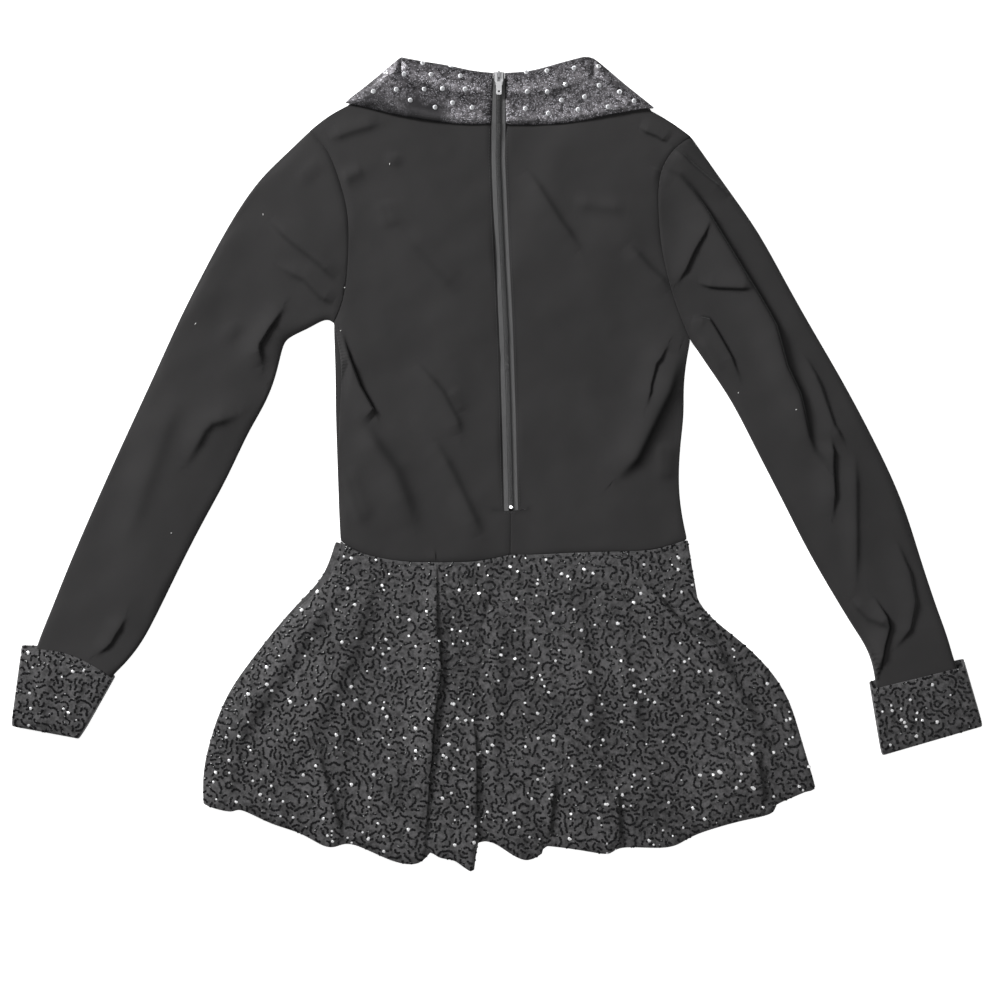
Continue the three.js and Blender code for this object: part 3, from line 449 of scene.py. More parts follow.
def beside_line(line, x, y):
    """How far points lie from a line, on which side, what share along it, and which way lies across it."""
    nearest = np.full_like(x, np.inf)
    side, share, across_x, across_y, weights = (np.zeros_like(x) for _ in range(5))
    for step, (start, end) in enumerate(zip(line, line[1:])):
        run_x, run_y = end.x - start.x, end.y - start.y
        length = run_x * run_x + run_y * run_y
        t = np.clip(((x - start.x) * run_x + (y - start.y) * run_y) / length, 0, 1)
        off_x, off_y = x - start.x - t * run_x, y - start.y - t * run_y
        off = np.hypot(off_x, off_y)
        closer = off < nearest
        nearest = np.where(closer, off, nearest)
        side = np.where(closer, np.sign(off_x * run_y - off_y * run_x), side)
        share = np.where(closer, (step + t) / (len(line) - 1), share)
        weight = 1 / (off * off + BEND_BLEND * BEND_BLEND) ** 2
        across_x += weight * run_y / math.sqrt(length)
        across_y -= weight * run_x / math.sqrt(length)
        weights += weight
    return nearest, side, share, across_x / weights, across_y / weights


def crease_shape(lines, x, y):
    """What creases add to each point's height, how far they push it sideways, and how much painted shade it
    gets.
    """
    total, push_x, push_y, painted_shade = (np.zeros_like(x) for _ in range(4))
    for line, width, rise, lean in lines:
        nearest, side, share, across_x, across_y = beside_line(line, x, y)
        reach = width * (1 - lean * side)
        ends = np.minimum(1, np.minimum(CREASE_RUNOUT * share, CREASE_RUNOUT * (1 - share)) + CREASE_START)
        here = CREASE_DEPTH * rise * ends * np.exp(-((nearest / reach) ** 2))
        total += here
        push_x += CREASE_OVERHANG * lean * here * across_x
        push_y += CREASE_OVERHANG * lean * here * across_y
        # Painted shade: a dark band on the fold's steep side, stronger for higher and leaning folds
        pushed = CREASE_OVERHANG * abs(lean) * (here - CREASE_DEPTH * rise * ends)
        beside = (nearest * side * math.copysign(1, lean) + pushed) / (PAINTED_SHADE_WIDTH * width * (1 - abs(lean)))
        dark = min(1, PAINTED_SHADE_DEPTH * abs(rise) / MM * (PAINTED_SHADE_ROUND + PAINTED_SHADE_LEAN * abs(lean)))
        painted_shade = np.maximum(painted_shade, dark * ends * np.exp(-((beside - 1) ** 2)))
    return total, push_x, push_y, painted_shade


def drape_height(x, y):
    """The slow swell of cloth that lies loose, as a few waves that cross."""
    total = np.zeros_like(x)
    for long, heading, phase, rise in DRAPE_WAVES:
        along_wave = x * math.cos(heading) + y * math.sin(heading)
        across_wave = y * math.cos(heading) - x * math.sin(heading)
        bend = DRAPE_BEND * np.sin(math.tau * across_wave / (DRAPE_BEND_LENGTH * long * MM))
        total += rise * MM * np.sin(math.tau * along_wave / (long * MM) + phase + bend * math.tau)
    return total


CREASE_MARGIN = 3


def lines_near(lines, low, high):
    """The creases whose own box comes near a piece's box."""
    found = []
    for crease in lines:
        line, margin = crease[0], CREASE_MARGIN * crease[1]
        if (max(at.x for at in line) + margin > low.x and min(at.x for at in line) - margin < high.x
                and max(at.y for at in line) + margin > low.y and min(at.y for at in line) - margin < high.y):
            found.append(crease)
    return found


UPPER = crease_lines(UPPER_CREASES + SKIRT_CREASES)
LOWER = crease_lines(LOWER_CREASES)
CUFF_CREASES = crease_lines([
    ([(50, 655), (42, 690), (38, 730)], 6, 0.6, 0.2),
    ([(85, 672), (78, 705), (70, 733)], 6, 0.5, -0.2),
    ([(905, 690), (909, 720), (912, 745)], 6, 0.6, 0.2),
    ([(945, 680), (950, 705), (955, 730)], 6, 0.5, -0.2),
])
COLLAR_CREASES = crease_lines([
    ([(374, 84), (390, 76), (410, 69)], 4, 0.9, 0.3),
    ([(487, 76), (487, 92)], 5, -0.5, 0.0),
    ([(350, 112), (380, 100), (405, 97)], 7, 0.6, 0.0),
    ([(600, 75), (615, 92), (640, 108)], 6, 0.7, 0.2),
    ([(540, 110), (560, 95), (590, 92)], 8, 0.4, 0.0),
])


def piece_object(name, mesh, material):
    """Links a finished mesh as a piece of the garment."""
    made = placed(name, mesh)
    if material:
        mesh.materials.clear()
        mesh.materials.append(material)
    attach(made, "garment")
    return made


def smooth(mesh):
    mesh.polygons.foreach_set("use_smooth", [True] * len(mesh.polygons))


def applied(made):
    """The mesh that an object shows with its modifiers, as a mesh of its own."""
    bpy.context.view_layer.update()
    shown = made.evaluated_get(bpy.context.evaluated_depsgraph_get())
    mesh = bpy.data.meshes.new_from_object(shown)
    bpy.data.objects.remove(made)
    return mesh


# The copies of the CAD nodes: how near corners are to be one, the widest turn that two triangles of a
# face make, and the turn from which an edge is a rim, with how crisply that is held
WELD = 0.01 * MM
JOIN_ANGLE = 3.1
RIM_ANGLE = 0.7
RIM_CREASE = 0.55


def welded(node):
    """A copy of a node's mesh, its triangles merged into faces of four corners and its rims held crisp."""
    work = bmesh.new()
    work.from_mesh(NODES[node].data)
    bmesh.ops.remove_doubles(work, verts=work.verts, dist=WELD)
    bmesh.ops.join_triangles(work, faces=work.faces, angle_face_threshold=JOIN_ANGLE,
                             angle_shape_threshold=JOIN_ANGLE)
    crease = work.edges.layers.float.new("crease_edge")
    for edge in work.edges:
        if edge.calc_face_angle(0) > RIM_ANGLE:
            edge[crease] = RIM_CREASE
    return finished_mesh(node, work)


# Heights where the lower layer ends and the upper one starts, how far pieces grow to close their seams,
# and how level a face is that is no rim
LOWER_TOP = 1.25 * MM
UPPER_FROM = 1.7 * MM
SEAM_CLOSE = 0.22 * MM
RIM_LEVEL = 0.35


def coordinates(mesh, source="vertices", attribute="co"):
    items = getattr(mesh, source)
    values = np.empty(3 * len(items), dtype=np.float32)
    items.foreach_get("vector" if source == "vertex_normals" else attribute, values)
    return values.reshape(-1, 3).astype(np.float64)


def rim_distance(at, normals, places):
    """How far each place lies in plan from the nearest point of the piece's rim."""
    rim = at[np.abs(normals[:, 2]) < RIM_LEVEL]
    tree = KDTree(len(rim))
    for index, (x, y, _) in enumerate(rim):
        tree.insert((x, y, 0), index)
    tree.balance()
    return np.array([tree.find((x, y, 0))[2] for x, y, _ in places])


# The lean from which a fold gets finer faces, and how wide those reach at each division
SHARP_LEAN = 0.2
FINER_REACHES = (1.6, 0.9)


def refine(mesh, lines):
    """Divides the faces beside the sharper folds twice, so that they bend crisply."""
    sharp = [(line, width) for line, width, _, lean in lines if abs(lean) >= SHARP_LEAN]
    work = bmesh.new()
    work.from_mesh(mesh)
    for reach in FINER_REACHES:
        work.normal_update()
        work.verts.index_update()
        at = np.array([vert.co[:] for vert in work.verts])
        near = np.zeros(len(at), dtype=bool)
        for line, width in sharp:
            near |= beside_line(line, at[:, 0], at[:, 1])[0] < reach * width
        near &= np.array([vert.normal.z > RIM_LEVEL for vert in work.verts])
        edges = [edge for edge in work.edges if all(near[vert.index] for vert in edge.verts)]
        bmesh.ops.subdivide_edges(work, edges=edges, cuts=1, use_grid_fill=True)
    work.to_mesh(mesh)
    work.free()


# How high a piece reaches that has an upper layer, and how much softer creases are in the lower one
UPPER_LAYER = 3.2 * MM
LOWER_SOFTNESS = 0.6


def cloth(node, name, material, lines=UPPER, levels=3, drape=1.0, lift=0.0,
          crown=(0.5, 7), rim_painted_shade=0.3):
    """A cloth piece on its node's form: rounded, then creased where it lies in the upper layer."""
    rough = placed(name, welded(node))
    rounding = rough.modifiers.new("rounding", "SUBSURF")
    rounding.levels = rounding.render_levels = levels
    mesh = applied(rough)
    low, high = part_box(node)
    lines = lines_near(lines, low, high)
    if high.z >= UPPER_LAYER:
        refine(mesh, lines)
    at = coordinates(mesh)
    normals = coordinates(mesh, "vertex_normals")
    at[:, :2] += normals[:, :2] * SEAM_CLOSE
    share = np.clip((at[:, 2] - LOWER_TOP) / (UPPER_FROM - LOWER_TOP), 0, 1)
    if low.z > MM:
        share[:] = 1
    if high.z < UPPER_LAYER:
        share[:] = 0
    x, y = at[:, 0], at[:, 1]
    rise, reach = crown
    inward = np.clip(rim_distance(at, normals, at) / (reach * MM), 0, 1)
    round_off = 1 - (1 - inward) ** 2
    height, push_x, push_y, painted_shade = crease_shape(lines, x, y)
    upper = round_off * (height + drape * drape_height(x, y) + rise * MM)
    lower = LOWER_SOFTNESS * crease_shape(lines_near(LOWER, low, high), x, y)[0]
    at[:, 2] = np.maximum(0, at[:, 2] + share * upper + (1 - share) * lower) + lift
    at[:, 0] += share * round_off * push_x
    at[:, 1] += share * round_off * push_y
    mesh.vertices.foreach_set("co", at.astype(np.float32).ravel())
    # Painted shade: each point's darkness in crease depths and towards the rims, which the cloth materials
    # mix toward near black
    depth = mesh.attributes.new("painted_shade", "FLOAT", "POINT")
    dark = np.maximum(share * painted_shade, rim_painted_shade * (1 - inward) ** 2)
    depth.data.foreach_set("value", dark.astype(np.float32))
    mesh.update()
    smooth(mesh)
    made = piece_object(name, mesh, material)
    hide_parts(node)
    return made


knit = {"front": cloth("front", "bodice_front", KNIT, levels=2)}
for side, wide in (("left", 0.19), ("right", 0.18)):
    knit[f"back_{side}"] = cloth(
        f"back_{side}", f"bodice_back_{side}", KNIT)
for side, area in (("left", 0.109), ("right", 0.103)):
    knit[f"sleeve_{side}"] = cloth(
        f"sleeve_{side}", f"sleeve_cloth_{side}", KNIT, levels=2)
sequin_cloth = {
    "skirt_front": cloth("skirt_front", "skirt_cloth_front", GROUND,
                         lift=0.4 * MM),
    "skirt_back": cloth("skirt_back", "skirt_cloth_back", GROUND,
                        levels=2),
}
for side, area in (("left", 0.0138), ("right", 0.0145)):
    sequin_cloth[f"cuff_{side}"] = cloth(
        f"cuff_{side}", f"cuff_cloth_{side}", GROUND,
        lines=CUFF_CREASES, levels=2, drape=0.3, lift=0.3 * MM)
satin = {}
for side, area in (("left", 0.0144), ("right", 0.0141)):
    satin[f"lapel_{side}"] = cloth(
        f"lapel_{side}", f"lapel_satin_{side}", SATIN)
for side in ("left", "right"):
    # The collar's rims get strong painted shade
    satin[f"collar_{side}"] = cloth(
        f"collar_{side}", f"collar_satin_{side}", SATIN,
        lines=COLLAR_CREASES, drape=0.4, crown=(2.2, 11), rim_painted_shade=0.8)


HEM_TURN = 12 * MM


def line_with(made, facing):
    """Gives the wrong side, which looks up (1) or down (-1), its plain backing inside the turned-in hem,
    darker than the sequin ground: partly its own colour, partly painted shade between the layers.
    """
    mesh = made.data
    mesh.materials.append(BACKING_WITH_PAINTED_SHADE)
    inward = rim_distance(coordinates(mesh), coordinates(mesh, "vertex_normals"),
                          coordinates(mesh, "polygons", "center"))
    for face, distance in zip(mesh.polygons, inward):
        if distance > HEM_TURN and facing * face.normal.z > RIM_LEVEL:
            face.material_index = 1


line_with(sequin_cloth["skirt_front"], 1)
line_with(sequin_cloth["skirt_back"], -1)


# Small repeated pieces
def tree_of(made):
    work = bmesh.new()
    work.from_mesh(made.data)
    tree = BVHTree.FromBMesh(work)
    work.free()
    return tree


RAY_FROM = 0.05


def surface(tree, x, y, above=True):
    """The point and normal of a cloth's outside over or under a place, or nothing where it has none."""
    way = -1 if above else 1
    point, normal, _, _ = tree.ray_cast(Vector((x, y, -way * RAY_FROM)), Vector((0, 0, way)))
    if point is None:
        return None
    return point, (normal if normal.z * way < 0 else -normal)


def scatter_group():
    """A Geometry Nodes group that puts a piece on each point by its own turn and size, as one mesh."""
    group = bpy.data.node_groups.new("scatter_pieces", "GeometryNodeTree")
    group.interface.new_socket("Geometry", in_out="INPUT", socket_type="NodeSocketGeometry")
    group.interface.new_socket("Piece", in_out="INPUT", socket_type="NodeSocketObject")
    group.interface.new_socket("Geometry", in_out="OUTPUT", socket_type="NodeSocketGeometry")
    nodes, links = group.nodes, group.links
    inputs = nodes.new("NodeGroupInput")
    outputs = nodes.new("NodeGroupOutput")
    info = nodes.new("GeometryNodeObjectInfo")
    copies = nodes.new("GeometryNodeInstanceOnPoints")
    for label, socket in (("turn", "Rotation"), ("size", "Scale")):
        own = nodes.new("GeometryNodeInputNamedAttribute")
        own.data_type = "FLOAT_VECTOR"
        own.inputs["Name"].default_value = label
        links.new(own.outputs["Attribute"], copies.inputs[socket])
    real = nodes.new("GeometryNodeRealizeInstances")
    links.new(inputs.outputs["Piece"], info.inputs["Object"])
    links.new(inputs.outputs["Geometry"], copies.inputs["Points"])
    links.new(info.outputs["Geometry"], copies.inputs["Instance"])
    links.new(copies.outputs[0], real.inputs[0])
    links.new(real.outputs[0], outputs.inputs[0])
    return group


SCATTER = scatter_group()


def scatter(name, pattern, places, material, flat_shaded=False):
    """One mesh with a copy of the pattern at each place: (point, turn, size)."""
    mesh = bpy.data.meshes.new(name)
    mesh.vertices.add(len(places))
    mesh.vertices.foreach_set("co", [value for point, _, _ in places for value in point])
    for label, index in (("turn", 1), ("size", 2)):
        attribute = mesh.attributes.new(label, "FLOAT_VECTOR", "POINT")
        attribute.data.foreach_set("vector", [value for place in places for value in place[index]])
    points = placed(name, mesh)
    modifier = points.modifiers.new("scatter", "NODES")
    modifier.node_group = SCATTER
    modifier[SCATTER.interface.items_tree["Piece"].identifier] = pattern
    made = applied(points)
    if not flat_shaded:
        smooth(made)
    return piece_object(name, made, material)


def pattern_object(name, build, *materials):
    """A small pattern mesh with its finishes, kept out of the scene until it is scattered."""
    work = bmesh.new()
    build(work)
    mesh = finished_mesh(name, work)
    for material in materials:
        mesh.materials.append(material)
    return bpy.data.objects.new(name, mesh)


def aim(normal, spin=0.0):
    """The turn that stands a pattern's Z along a normal, with a spin about it."""
    turn = normal.to_track_quat("Z", "Y").to_euler()
    turn.rotate_axis("Z", spin)
    return tuple(turn)


# Sequins in short squiggles
SEQUIN_RADIUS = 1.38 * MM
SEQUIN_PITCH = 1.95 * MM
SQUIGGLE_APART = 3.0 * MM
SQUIGGLE_GRID = 1.9 * MM
SQUIGGLE_JITTER = 2
SQUIGGLE_SHORTEST = 3
SQUIGGLE_LENGTHS = (5, 13)
SQUIGGLE_BENDS = (0.3, 0.75)
SQUIGGLE_SWERVE = 0.3
# The share of sequins that are painted glints
PAINTED_GLINT_SHARE = 0.028
# How much each kind tilts, how far it stands off the cloth in mm, and its sizes
SEQUIN_KINDS = {"black": (0.1, 0.16, (0.88, 1.08)), "painted_glint": (0.05, 0.2, (0.6, 1.45))}
# The flat top of a sequin and of a stone, for its whole radius, and their depths
TABLE_SHARE = 0.55
SEQUIN_DEPTH = 0.22 * MM
STONE_DEPTH = 1.1 * MM


def sequin_shape(work):
    bmesh.ops.create_cone(work, cap_ends=True, cap_tris=False, segments=6, radius1=SEQUIN_RADIUS,
                          radius2=TABLE_SHARE * SEQUIN_RADIUS, depth=SEQUIN_DEPTH)
    under = [face for face in work.faces if face.normal.z < -0.5]
    bmesh.ops.delete(work, geom=under, context="FACES")


SEQUIN_PATTERN = pattern_object("sequin_pattern", sequin_shape)


def squiggles(rng, low, high):
    """Points along short wandering lines that keep clear of each other."""
    taken = {}
    cell = SQUIGGLE_APART

    def clear(x, y, own):
        column, row = int(x // cell), int(y // cell)
        for i in (column - 1, column, column + 1):
            for j in (row - 1, row, row + 1):
                for other_x, other_y, line in taken.get((i, j), ()):
                    if line != own and math.hypot(x - other_x, y - other_y) < SQUIGGLE_APART:
                        return False
        return True

    starts = []
    x = low.x
    while x < high.x:
        y = low.y
        while y < high.y:
            off_x, off_y = (rng.uniform(-SQUIGGLE_JITTER, SQUIGGLE_JITTER) * MM for _ in range(2))
            starts.append((x + off_x, y + off_y))
            y += SQUIGGLE_GRID
        x += SQUIGGLE_GRID
    rng.shuffle(starts)
    found = []
    for line, (x, y) in enumerate(starts):
        heading = rng.uniform(0, math.tau)
        bend = rng.choice((-1, 1)) * rng.uniform(*SQUIGGLE_BENDS)
        run = []
        for _ in range(rng.randint(*SQUIGGLE_LENGTHS)):
            if not clear(x, y, line):
                break
            run.append((x, y, heading))
            if rng.random() < SQUIGGLE_SWERVE:
                bend = -bend
            heading += bend
            x += SEQUIN_PITCH * math.cos(heading)
            y += SEQUIN_PITCH * math.sin(heading)
        if len(run) < SQUIGGLE_SHORTEST:
            continue
        found += run
        for x, y, _ in run:
            taken.setdefault((int(x // cell), int(y // cell)), []).append((x, y, line))
    return found


def sequins(name, made, seed, above=True, margin=0.5 * MM):
    rng = random.Random(seed)
    tree = tree_of(made)
    corners = [Vector(corner) for corner in made.bound_box]
    low = Vector((min(c.x for c in corners), min(c.y for c in corners)))
    high = Vector((max(c.x for c in corners), max(c.y for c in corners)))
    places = {"black": [], "painted_glint": []}
    for x, y, heading in squiggles(rng, low, high):
        around = ((x + margin, y), (x - margin, y), (x, y + margin), (x, y - margin))
        hit = surface(tree, x, y, above)
        if hit is None or any(surface(tree, *at, above) is None for at in around):
            continue
        point, normal = hit
        # Some sequins are painted glints: near-white copies of the black ones
        kind = "painted_glint" if rng.random() < PAINTED_GLINT_SHARE else "black"
        tilt, lift, sizes = SEQUIN_KINDS[kind]
        lean = Vector((rng.gauss(0, tilt), rng.gauss(0, tilt), 0))
        outward = (normal + lean).normalized()
        size = rng.uniform(*sizes)
        lifted = point + normal * lift * MM
        places[kind].append((tuple(lifted), aim(outward, heading), (size, size, size)))
    for kind, label, finish in (("black", name, SEQUIN), ("painted_glint", f"{name}_silver", PAINTED_GLINT_SEQUIN)):
        scatter(label, SEQUIN_PATTERN, places[kind], finish, flat_shaded=True)


sequins("sequins_skirt_back", sequin_cloth["skirt_back"], SEED)
sequins("sequins_skirt_front", sequin_cloth["skirt_front"], SEED + 1, above=False)
for side in ("left", "right"):
    sequins(f"sequins_cuff_{side}", sequin_cloth[f"cuff_{side}"], SEED + 2 + len(side))
    sequins(f"sequins_cuff_under_{side}", sequin_cloth[f"cuff_{side}"], SEED + 9 + len(side), above=False)


# Stones on the collar, by the pixels that show them, and on the hidden lapels
COLLAR_STONES = {
    "left": [(423, 64), (451, 67), (386, 73), (404.5, 75.4), (431.4, 75.9), (460.7, 77.1), (374, 93),
             (396.8, 91.3), (424.5, 90.6), (442.8, 89.9), (465.1, 90.4), (410.7, 102), (452.9, 104.2),
             (435.5, 108.7), (472.2, 108.8)],
    "right": [(526.3, 73), (546.9, 72), (573.7, 69.6), (598.3, 67.7), (527.1, 92.8), (546.9, 92.8),
              (565.5, 85.7), (598.8, 87.1), (619.1, 93.8), (561.3, 101.5), (584.3, 98.5), (633.5, 102.6),
              (525.4, 109.8), (548.1, 114.6), (577.7, 111.3), (607.6, 108.5)],
}
STONE_RADIUS = 2.55 * MM
STONE_TILT = 0.07
STONE_LIFT = 0.5
LAPEL_STONE_STEP = 21 * MM
LAPEL_STONE_JITTER = 3
LAPEL_STONE_SIZE = (0.9, 0.9, 0.35)
LAPEL_MARGIN = 5 * MM


def soften(work, edges, offset):
    bmesh.ops.bevel(work, geom=edges, offset=offset, affect="EDGES", segments=1, profile=0.5, material=-1)


def stone_shape(work):
    bmesh.ops.create_cone(work, cap_ends=True, cap_tris=False, segments=8, radius1=STONE_RADIUS,
                          radius2=TABLE_SHARE * STONE_RADIUS, depth=STONE_DEPTH)
    girdle = [edge for edge in work.edges if all(v.co.z < 0 for v in edge.verts)]
    soften(work, girdle, 0.25 * MM)
    for face in work.faces:
        face.material_index = 1 if face.normal.z > 0.9 else 0


STONE_PATTERN = pattern_object("stone_pattern", stone_shape, CRYSTAL_AND_PAINTED_SPARKLE, TABLE)


def collar_stones(side):
    rng = random.Random(SEED + len(side))
    tree = tree_of(satin[f"collar_{side}"])
    places = []
    for px, py in COLLAR_STONES[side]:
        at = spot(px, py)
        hit = surface(tree, at.x, at.y)
        if hit:
            point, normal = hit
            lean = Vector((rng.gauss(0, STONE_TILT), rng.gauss(0, STONE_TILT), 0))
            lifted = point + normal * STONE_LIFT * MM
            places.append((tuple(lifted), aim(normal + lean, rng.uniform(0, 1)), (1, 1, 1)))
    scatter(f"stones_collar_{side}", STONE_PATTERN, places, None, flat_shaded=True)


def lapel_stones(side):
    """Stones in loose rows on the side that lies on the surface, pressed flat into the satin."""
    rng = random.Random(SEED + 5 + len(side))
    made = satin[f"lapel_{side}"]
    tree = tree_of(made)
    low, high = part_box(f"lapel_{side}")
    places = []
    row = 0
    y = low.y
    while y < high.y:
        x = low.x + (row % 2) * LAPEL_STONE_STEP / 2
        while x < high.x:
            off_x, off_y = (rng.uniform(-LAPEL_STONE_JITTER, LAPEL_STONE_JITTER) * MM for _ in range(2))
            at = (x + off_x, y + off_y)
            around = ((at[0] + LAPEL_MARGIN, at[1]), (at[0] - LAPEL_MARGIN, at[1]))
            hit = surface(tree, *at, above=False)
            if hit and all(surface(tree, *edge, above=False) for edge in around):
                point, normal = hit
                places.append((tuple(point), aim(normal, rng.uniform(0, 1)), LAPEL_STONE_SIZE))
            x += LAPEL_STONE_STEP
        y += LAPEL_STONE_STEP
        row += 1
    scatter(f"stones_lapel_{side}", STONE_PATTERN, places, None, flat_shaded=True)


for side in ("left", "right"):
    collar_stones(side)
    lapel_stones(side)


# The zip: its coil and teeth, and the line that it follows in mm
TOOTH_PITCH = 1.35 * MM
COIL_HALF = 1.9 * MM
TOOTH_SIZE = (1.9 * COIL_HALF, 0.75 * MM, 0.7 * MM)
TOOTH_LIFT = 0.1 * MM
COIL_SINK = 0.35 * MM
ZIP_LINE = [(13.3, -38.2), (11.2, 48), (8.8, 124), (4.2, 217), (1.4, 283), (1.9, 315), (2.3, 361)]


def tooth_shape(work):
    bmesh.ops.create_cube(work, size=1)
    bmesh.ops.scale(work, vec=TOOTH_SIZE, verts=work.verts)
    soften(work, work.edges[:], 0.2 * MM)


def along(line, step):
    """Points and headings at even steps along a line of (x, y) pairs in metres."""
    found = []
    spare = 0.0
    for (x0, y0), (x1, y1) in zip(line, line[1:]):
        length = math.hypot(x1 - x0, y1 - y0)
        heading = math.atan2(y1 - y0, x1 - x0)
        at = spare
        while at < length:
            found.append((x0 + (x1 - x0) * at / length, y0 + (y1 - y0) * at / length, heading))
            at += step
        spare = at - length
    return found


# How far the tapes and the coil are widened; less than nothing narrows
TAPE_CLOSE = 0.1 * MM
COIL_CLOSE = -0.2 * MM


def spread(mesh, margin):
    """Widens a mesh by a margin on both sides, so that no light shows through a seam."""
    at = coordinates(mesh)
    at[:, 0] += np.sign(coordinates(mesh, "vertex_normals")[:, 0]) * margin
    mesh.vertices.foreach_set("co", at.astype(np.float32).ravel())
    mesh.update()


def zip_coil():
    base = welded("zip_coil")
    spread(base, COIL_CLOSE)
    work = bmesh.new()
    work.from_mesh(base)
    bmesh.ops.translate(work, vec=(0, 0, -COIL_SINK), verts=work.verts)
    work.to_mesh(base)
    work.free()
    core = piece_object("zip_coil_core", base, COIL)
    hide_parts("zip_coil")
    tree = tree_of(core)
    pattern = pattern_object("tooth_pattern", tooth_shape)
    places = []
    line = [(x * MM, y * MM) for x, y in ZIP_LINE]
    for x, y, heading in along(line, TOOTH_PITCH):
        hit = surface(tree, x, y)
        if hit:
            turn = (0.0, 0.0, heading - math.pi / 2)
            places.append((tuple(hit[0] + Vector((0, 0, TOOTH_LIFT))), turn, (1, 1, 1)))
    scatter("zip_coil_teeth", pattern, places, COIL)


zip_coil()


def bright_piece(node, name, bevel, finish):
    """A metal piece with its node's form and softened edges."""
    work = bmesh.new()
    work.from_mesh(NODES[node].data)
    bmesh.ops.remove_doubles(work, verts=work.verts, dist=WELD)
    bmesh.ops.dissolve_limit(work, angle_limit=0.05, verts=work.verts, edges=work.edges)
    rough = placed(name, finished_mesh(name, work))
    softening = rough.modifiers.new("softening", "BEVEL")
    softening.width = bevel
    softening.segments = 2
    softening.limit_method = "ANGLE"
    made = piece_object(name, applied(rough), finish)
    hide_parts(node)
    return made


bright_piece("zip_slider", "slider_body", 0.22 * MM, SLIDER_METAL)
bright_piece("zip_stop", "bottom_stop", 0.3 * MM, NICKEL)
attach(bright_piece("zip_pull_tab", "pull_tab_plate", 0.16 * MM, NICKEL), "pull_tab")


def zip_tape(side):
    """A tape with its weave, closed up against the coil and the cloth beside it."""
    mesh = welded(f"zip_tape_{side}")
    spread(mesh, TAPE_CLOSE)
    made = piece_object(f"tape_weave_{side}", mesh, TAPE)
    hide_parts(f"zip_tape_{side}")
    return made


RIBBON_THICK = 0.2 * MM


def ribbon(name, line, width, heading=(0, 1)):
    """A thin dark band along points (x, y, z) in metres, as wide as given along one direction in plan."""
    work = bmesh.new()
    off = Vector((heading[0], heading[1], 0)) * width / 2
    corners = [work.verts.new(Vector(at) + off) for at in line]
    edges = [work.edges.new(pair) for pair in zip(corners, corners[1:])]
    widened = bmesh.ops.extrude_edge_only(work, edges=edges)["geom"]
    other = [item for item in widened if isinstance(item, bmesh.types.BMVert)]
    bmesh.ops.translate(work, vec=-2 * off, verts=other)
    bmesh.ops.recalc_face_normals(work, faces=work.faces)
    bmesh.ops.solidify(work, geom=work.faces[:], thickness=RIBBON_THICK)
    return piece_object(name, finished_mesh(name, work), THREAD)


FACING_STEP = 9 * MM
FACING_WIDTH = 14 * MM
FACING_DROP = 0.15 * MM
TAPE_MIDDLE = 4 * MM


def zip_backing(tape):
    """The dark facing behind the zip, which closes the slits beside the coil and the tapes."""
    tree = tree_of(tape)
    line = []
    for x, y, _ in along([(x * MM, y * MM) for x, y in ZIP_LINE], FACING_STEP):
        hit = surface(tree, x - TAPE_MIDDLE, y, above=False)
        if hit:
            line.append((x, y, hit[0].z - FACING_DROP))
    ribbon("zip_facing", line, FACING_WIDTH, heading=(1, 0))


TAPES = {side: zip_tape(side) for side in ("left", "right")}
zip_backing(TAPES["left"])


# Stitches, and the waist seam
STITCH_STEP = 2.9 * MM
STITCH_SIZE = (2.1 * MM, 0.42 * MM, 0.3 * MM)
STITCH_LIFT = 0.05


def stitch_shape(work):
    bmesh.ops.create_cube(work, size=1)
    bmesh.ops.scale(work, vec=STITCH_SIZE, verts=work.verts)
    soften(work, work.edges[:], 0.12 * MM)


STITCH_PATTERN = pattern_object("stitch_pattern", stitch_shape)


def stitches(name, trees, line, above=True):
    """A row of stitches along a line of (x, y) pairs in mm, on whichever of the cloths is outermost there."""
    outermost = max if above else min
    places = []
    for x, y, heading in along([(x * MM, y * MM) for x, y in line], STITCH_STEP):
        hits = [hit for hit in (surface(tree, x, y, above) for tree in trees) if hit]
        if hits:
            point, normal = outermost(hits, key=lambda hit: hit[0].z)
            fall = -normal.x * math.cos(heading) - normal.y * math.sin(heading)
            slope = math.asin(max(-1.0, min(1.0, fall)))
            lifted = point + normal * STITCH_LIFT * MM
            places.append((tuple(lifted), (0.0, -slope, heading), (1, 1, 1)))
    scatter(name, STITCH_PATTERN, places, THREAD)


TREES = {node: tree_of(made) for group in (knit, sequin_cloth, satin) for node, made in group.items()}
# The zip's side seams in mm, up to the collar
ZIP_SEAM = ZIP_LINE[:5] + [(1.9, 312)]
ZIP_SEAM_OFF = 8.3
for sign, side in ((-1, "left"), (1, "right")):
    stitches(f"zip_stitching_{side}", [TREES[f"back_{side}"]],
             [(x + sign * ZIP_SEAM_OFF, y) for x, y in ZIP_SEAM])
stitches("zip_end_stitching", [TREES["back_left"], TREES["back_right"]], [(8, -46), (19, -46)])
stitches("collar_stitching_left", [TREES["collar_left"]],
         [(-8, 318.2), (-30, 317.8), (-61.5, 320.9), (-92.5, 326.1), (-117.5, 332.2), (-134, 336)])
stitches("collar_stitching_right", [TREES["collar_right"]],
         [(12, 317.3), (42, 317.3), (73.5, 319.8), (104.6, 326.1), (135.8, 331.6)])
WAIST_TAPE_WIDTH = 10 * MM
WAIST_TAPE_LEVEL = 1.3 * MM
WAIST_LINE = [(-141, -79), (-112, -90.2), (-83, -94.4), (-52, -95), (-24.6, -94.4), (-8, -92.3), (13, -88),
              (39.5, -87.6), (75, -85.8), (115, -84.8), (143, -83.6), (161, -79.2), (172, -75)]


def waist_tape():
    """The turned-in edges of the waist seam, as a dark band between the layers."""
    line = [(x * MM, y * MM, WAIST_TAPE_LEVEL) for x, y in WAIST_LINE]
    ribbon("waist_seam_edges", line, WAIST_TAPE_WIDTH)


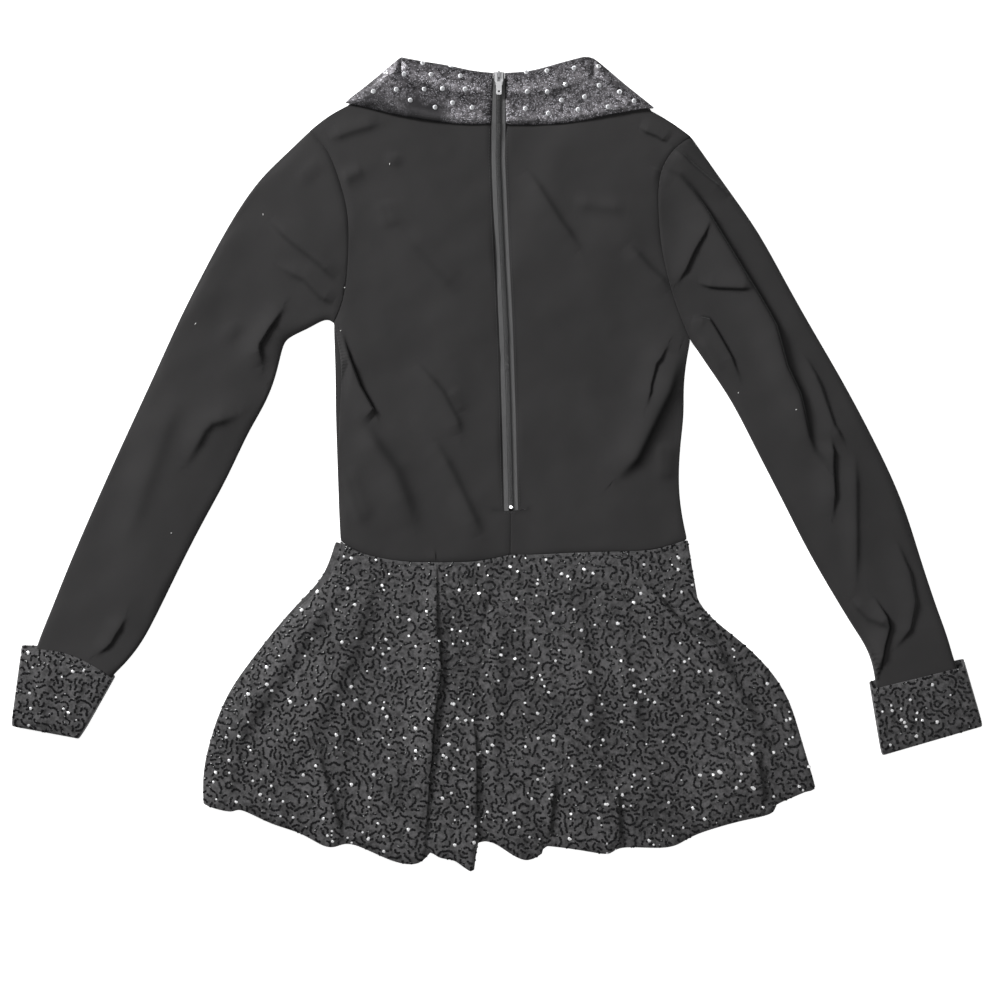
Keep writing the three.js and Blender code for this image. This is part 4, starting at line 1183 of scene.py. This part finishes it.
waist_tape()
stitches("waist_stitching", [TREES["skirt_back"]], WAIST_LINE)
stitches("waist_stitching_under", [TREES["skirt_front"]], WAIST_LINE, above=False)


# Lint that shows on the dark knit, with its length in mm and its heading
LINT_BITS = [(196, 324, 2.6, 1.1), (390, 165, 2.4, 1.4), (341, 331, 1.5, 0.6), (263.5, 215, 2.2, 1.5),
             (345, 288, 1.6, 0.9), (795, 410, 1.8, 0.5), (172, 533, 1.5, 0.2), (738, 393, 1.8, 1.2)]
LINT_WIDTH = 0.8 * MM
LINT_THICK = 0.4 * MM
LINT_LIFT = 0.15 * MM


def lint_shape(work):
    bmesh.ops.create_icosphere(work, subdivisions=1, radius=0.5)


def lint():
    pattern = pattern_object("lint_pattern", lint_shape)
    places = []
    for px, py, length, heading in LINT_BITS:
        at = spot(px, py)
        hits = [hit for hit in (surface(TREES[node], at.x, at.y) for node in knit) if hit]
        if hits:
            top = max(hits, key=lambda hit: hit[0].z)[0]
            size = (length * MM, LINT_WIDTH, LINT_THICK)
            places.append((tuple(top + Vector((0, 0, LINT_LIFT))), (0.0, 0.0, heading), size))
    scatter("lint_bits", pattern, places, LINT)


lint()


# Floor and light: each lamp's place, size and power
FLOOR_HALF = 12
FLOOR_DROP = 0.1 * MM
FLOOR_GLOW = 0.75
LIGHTS = [("window", (-3.2, 2.5, 1.75), 1.1, 330), ("lamp", (1.6, -0.6, 2.2), 0.9, 6),
          ("flash", (0.1, 0.15, 2.3), 0.12, 8)]
SKY_STRENGTH = 0.16


def make_floor():
    work = bmesh.new()
    bmesh.ops.create_grid(work, x_segments=1, y_segments=1, size=FLOOR_HALF)
    bmesh.ops.translate(work, vec=(0, 0, -FLOOR_DROP), verts=work.verts)
    floor = placed("floor", finished_mesh("floor", work))
    made, _, shader = new_material("pale_floor", 0.9)
    shader.inputs["Base Color"].default_value = (0.9, 0.9, 0.9, 1)
    shader.inputs["Emission Color"].default_value = (1, 1, 1, 1)
    shader.inputs["Emission Strength"].default_value = FLOOR_GLOW
    floor.data.materials.append(made)


def area_light(name, place, size, power):
    data = bpy.data.lights.new(name, "AREA")
    data.size = size
    data.energy = power
    made = placed(name, data)
    made.location = place
    made.rotation_euler = (-Vector(place)).to_track_quat("-Z", "Y").to_euler()


make_floor()
for light in LIGHTS:
    area_light(*light)
world = bpy.data.worlds.new("studio")
bpy.context.scene.world = world
world.use_nodes = True
world.node_tree.nodes["Background"].inputs["Color"].default_value = (1, 1, 1, 1)
world.node_tree.nodes["Background"].inputs["Strength"].default_value = SKY_STRENGTH
bpy.context.scene.view_settings.view_transform = "Standard"
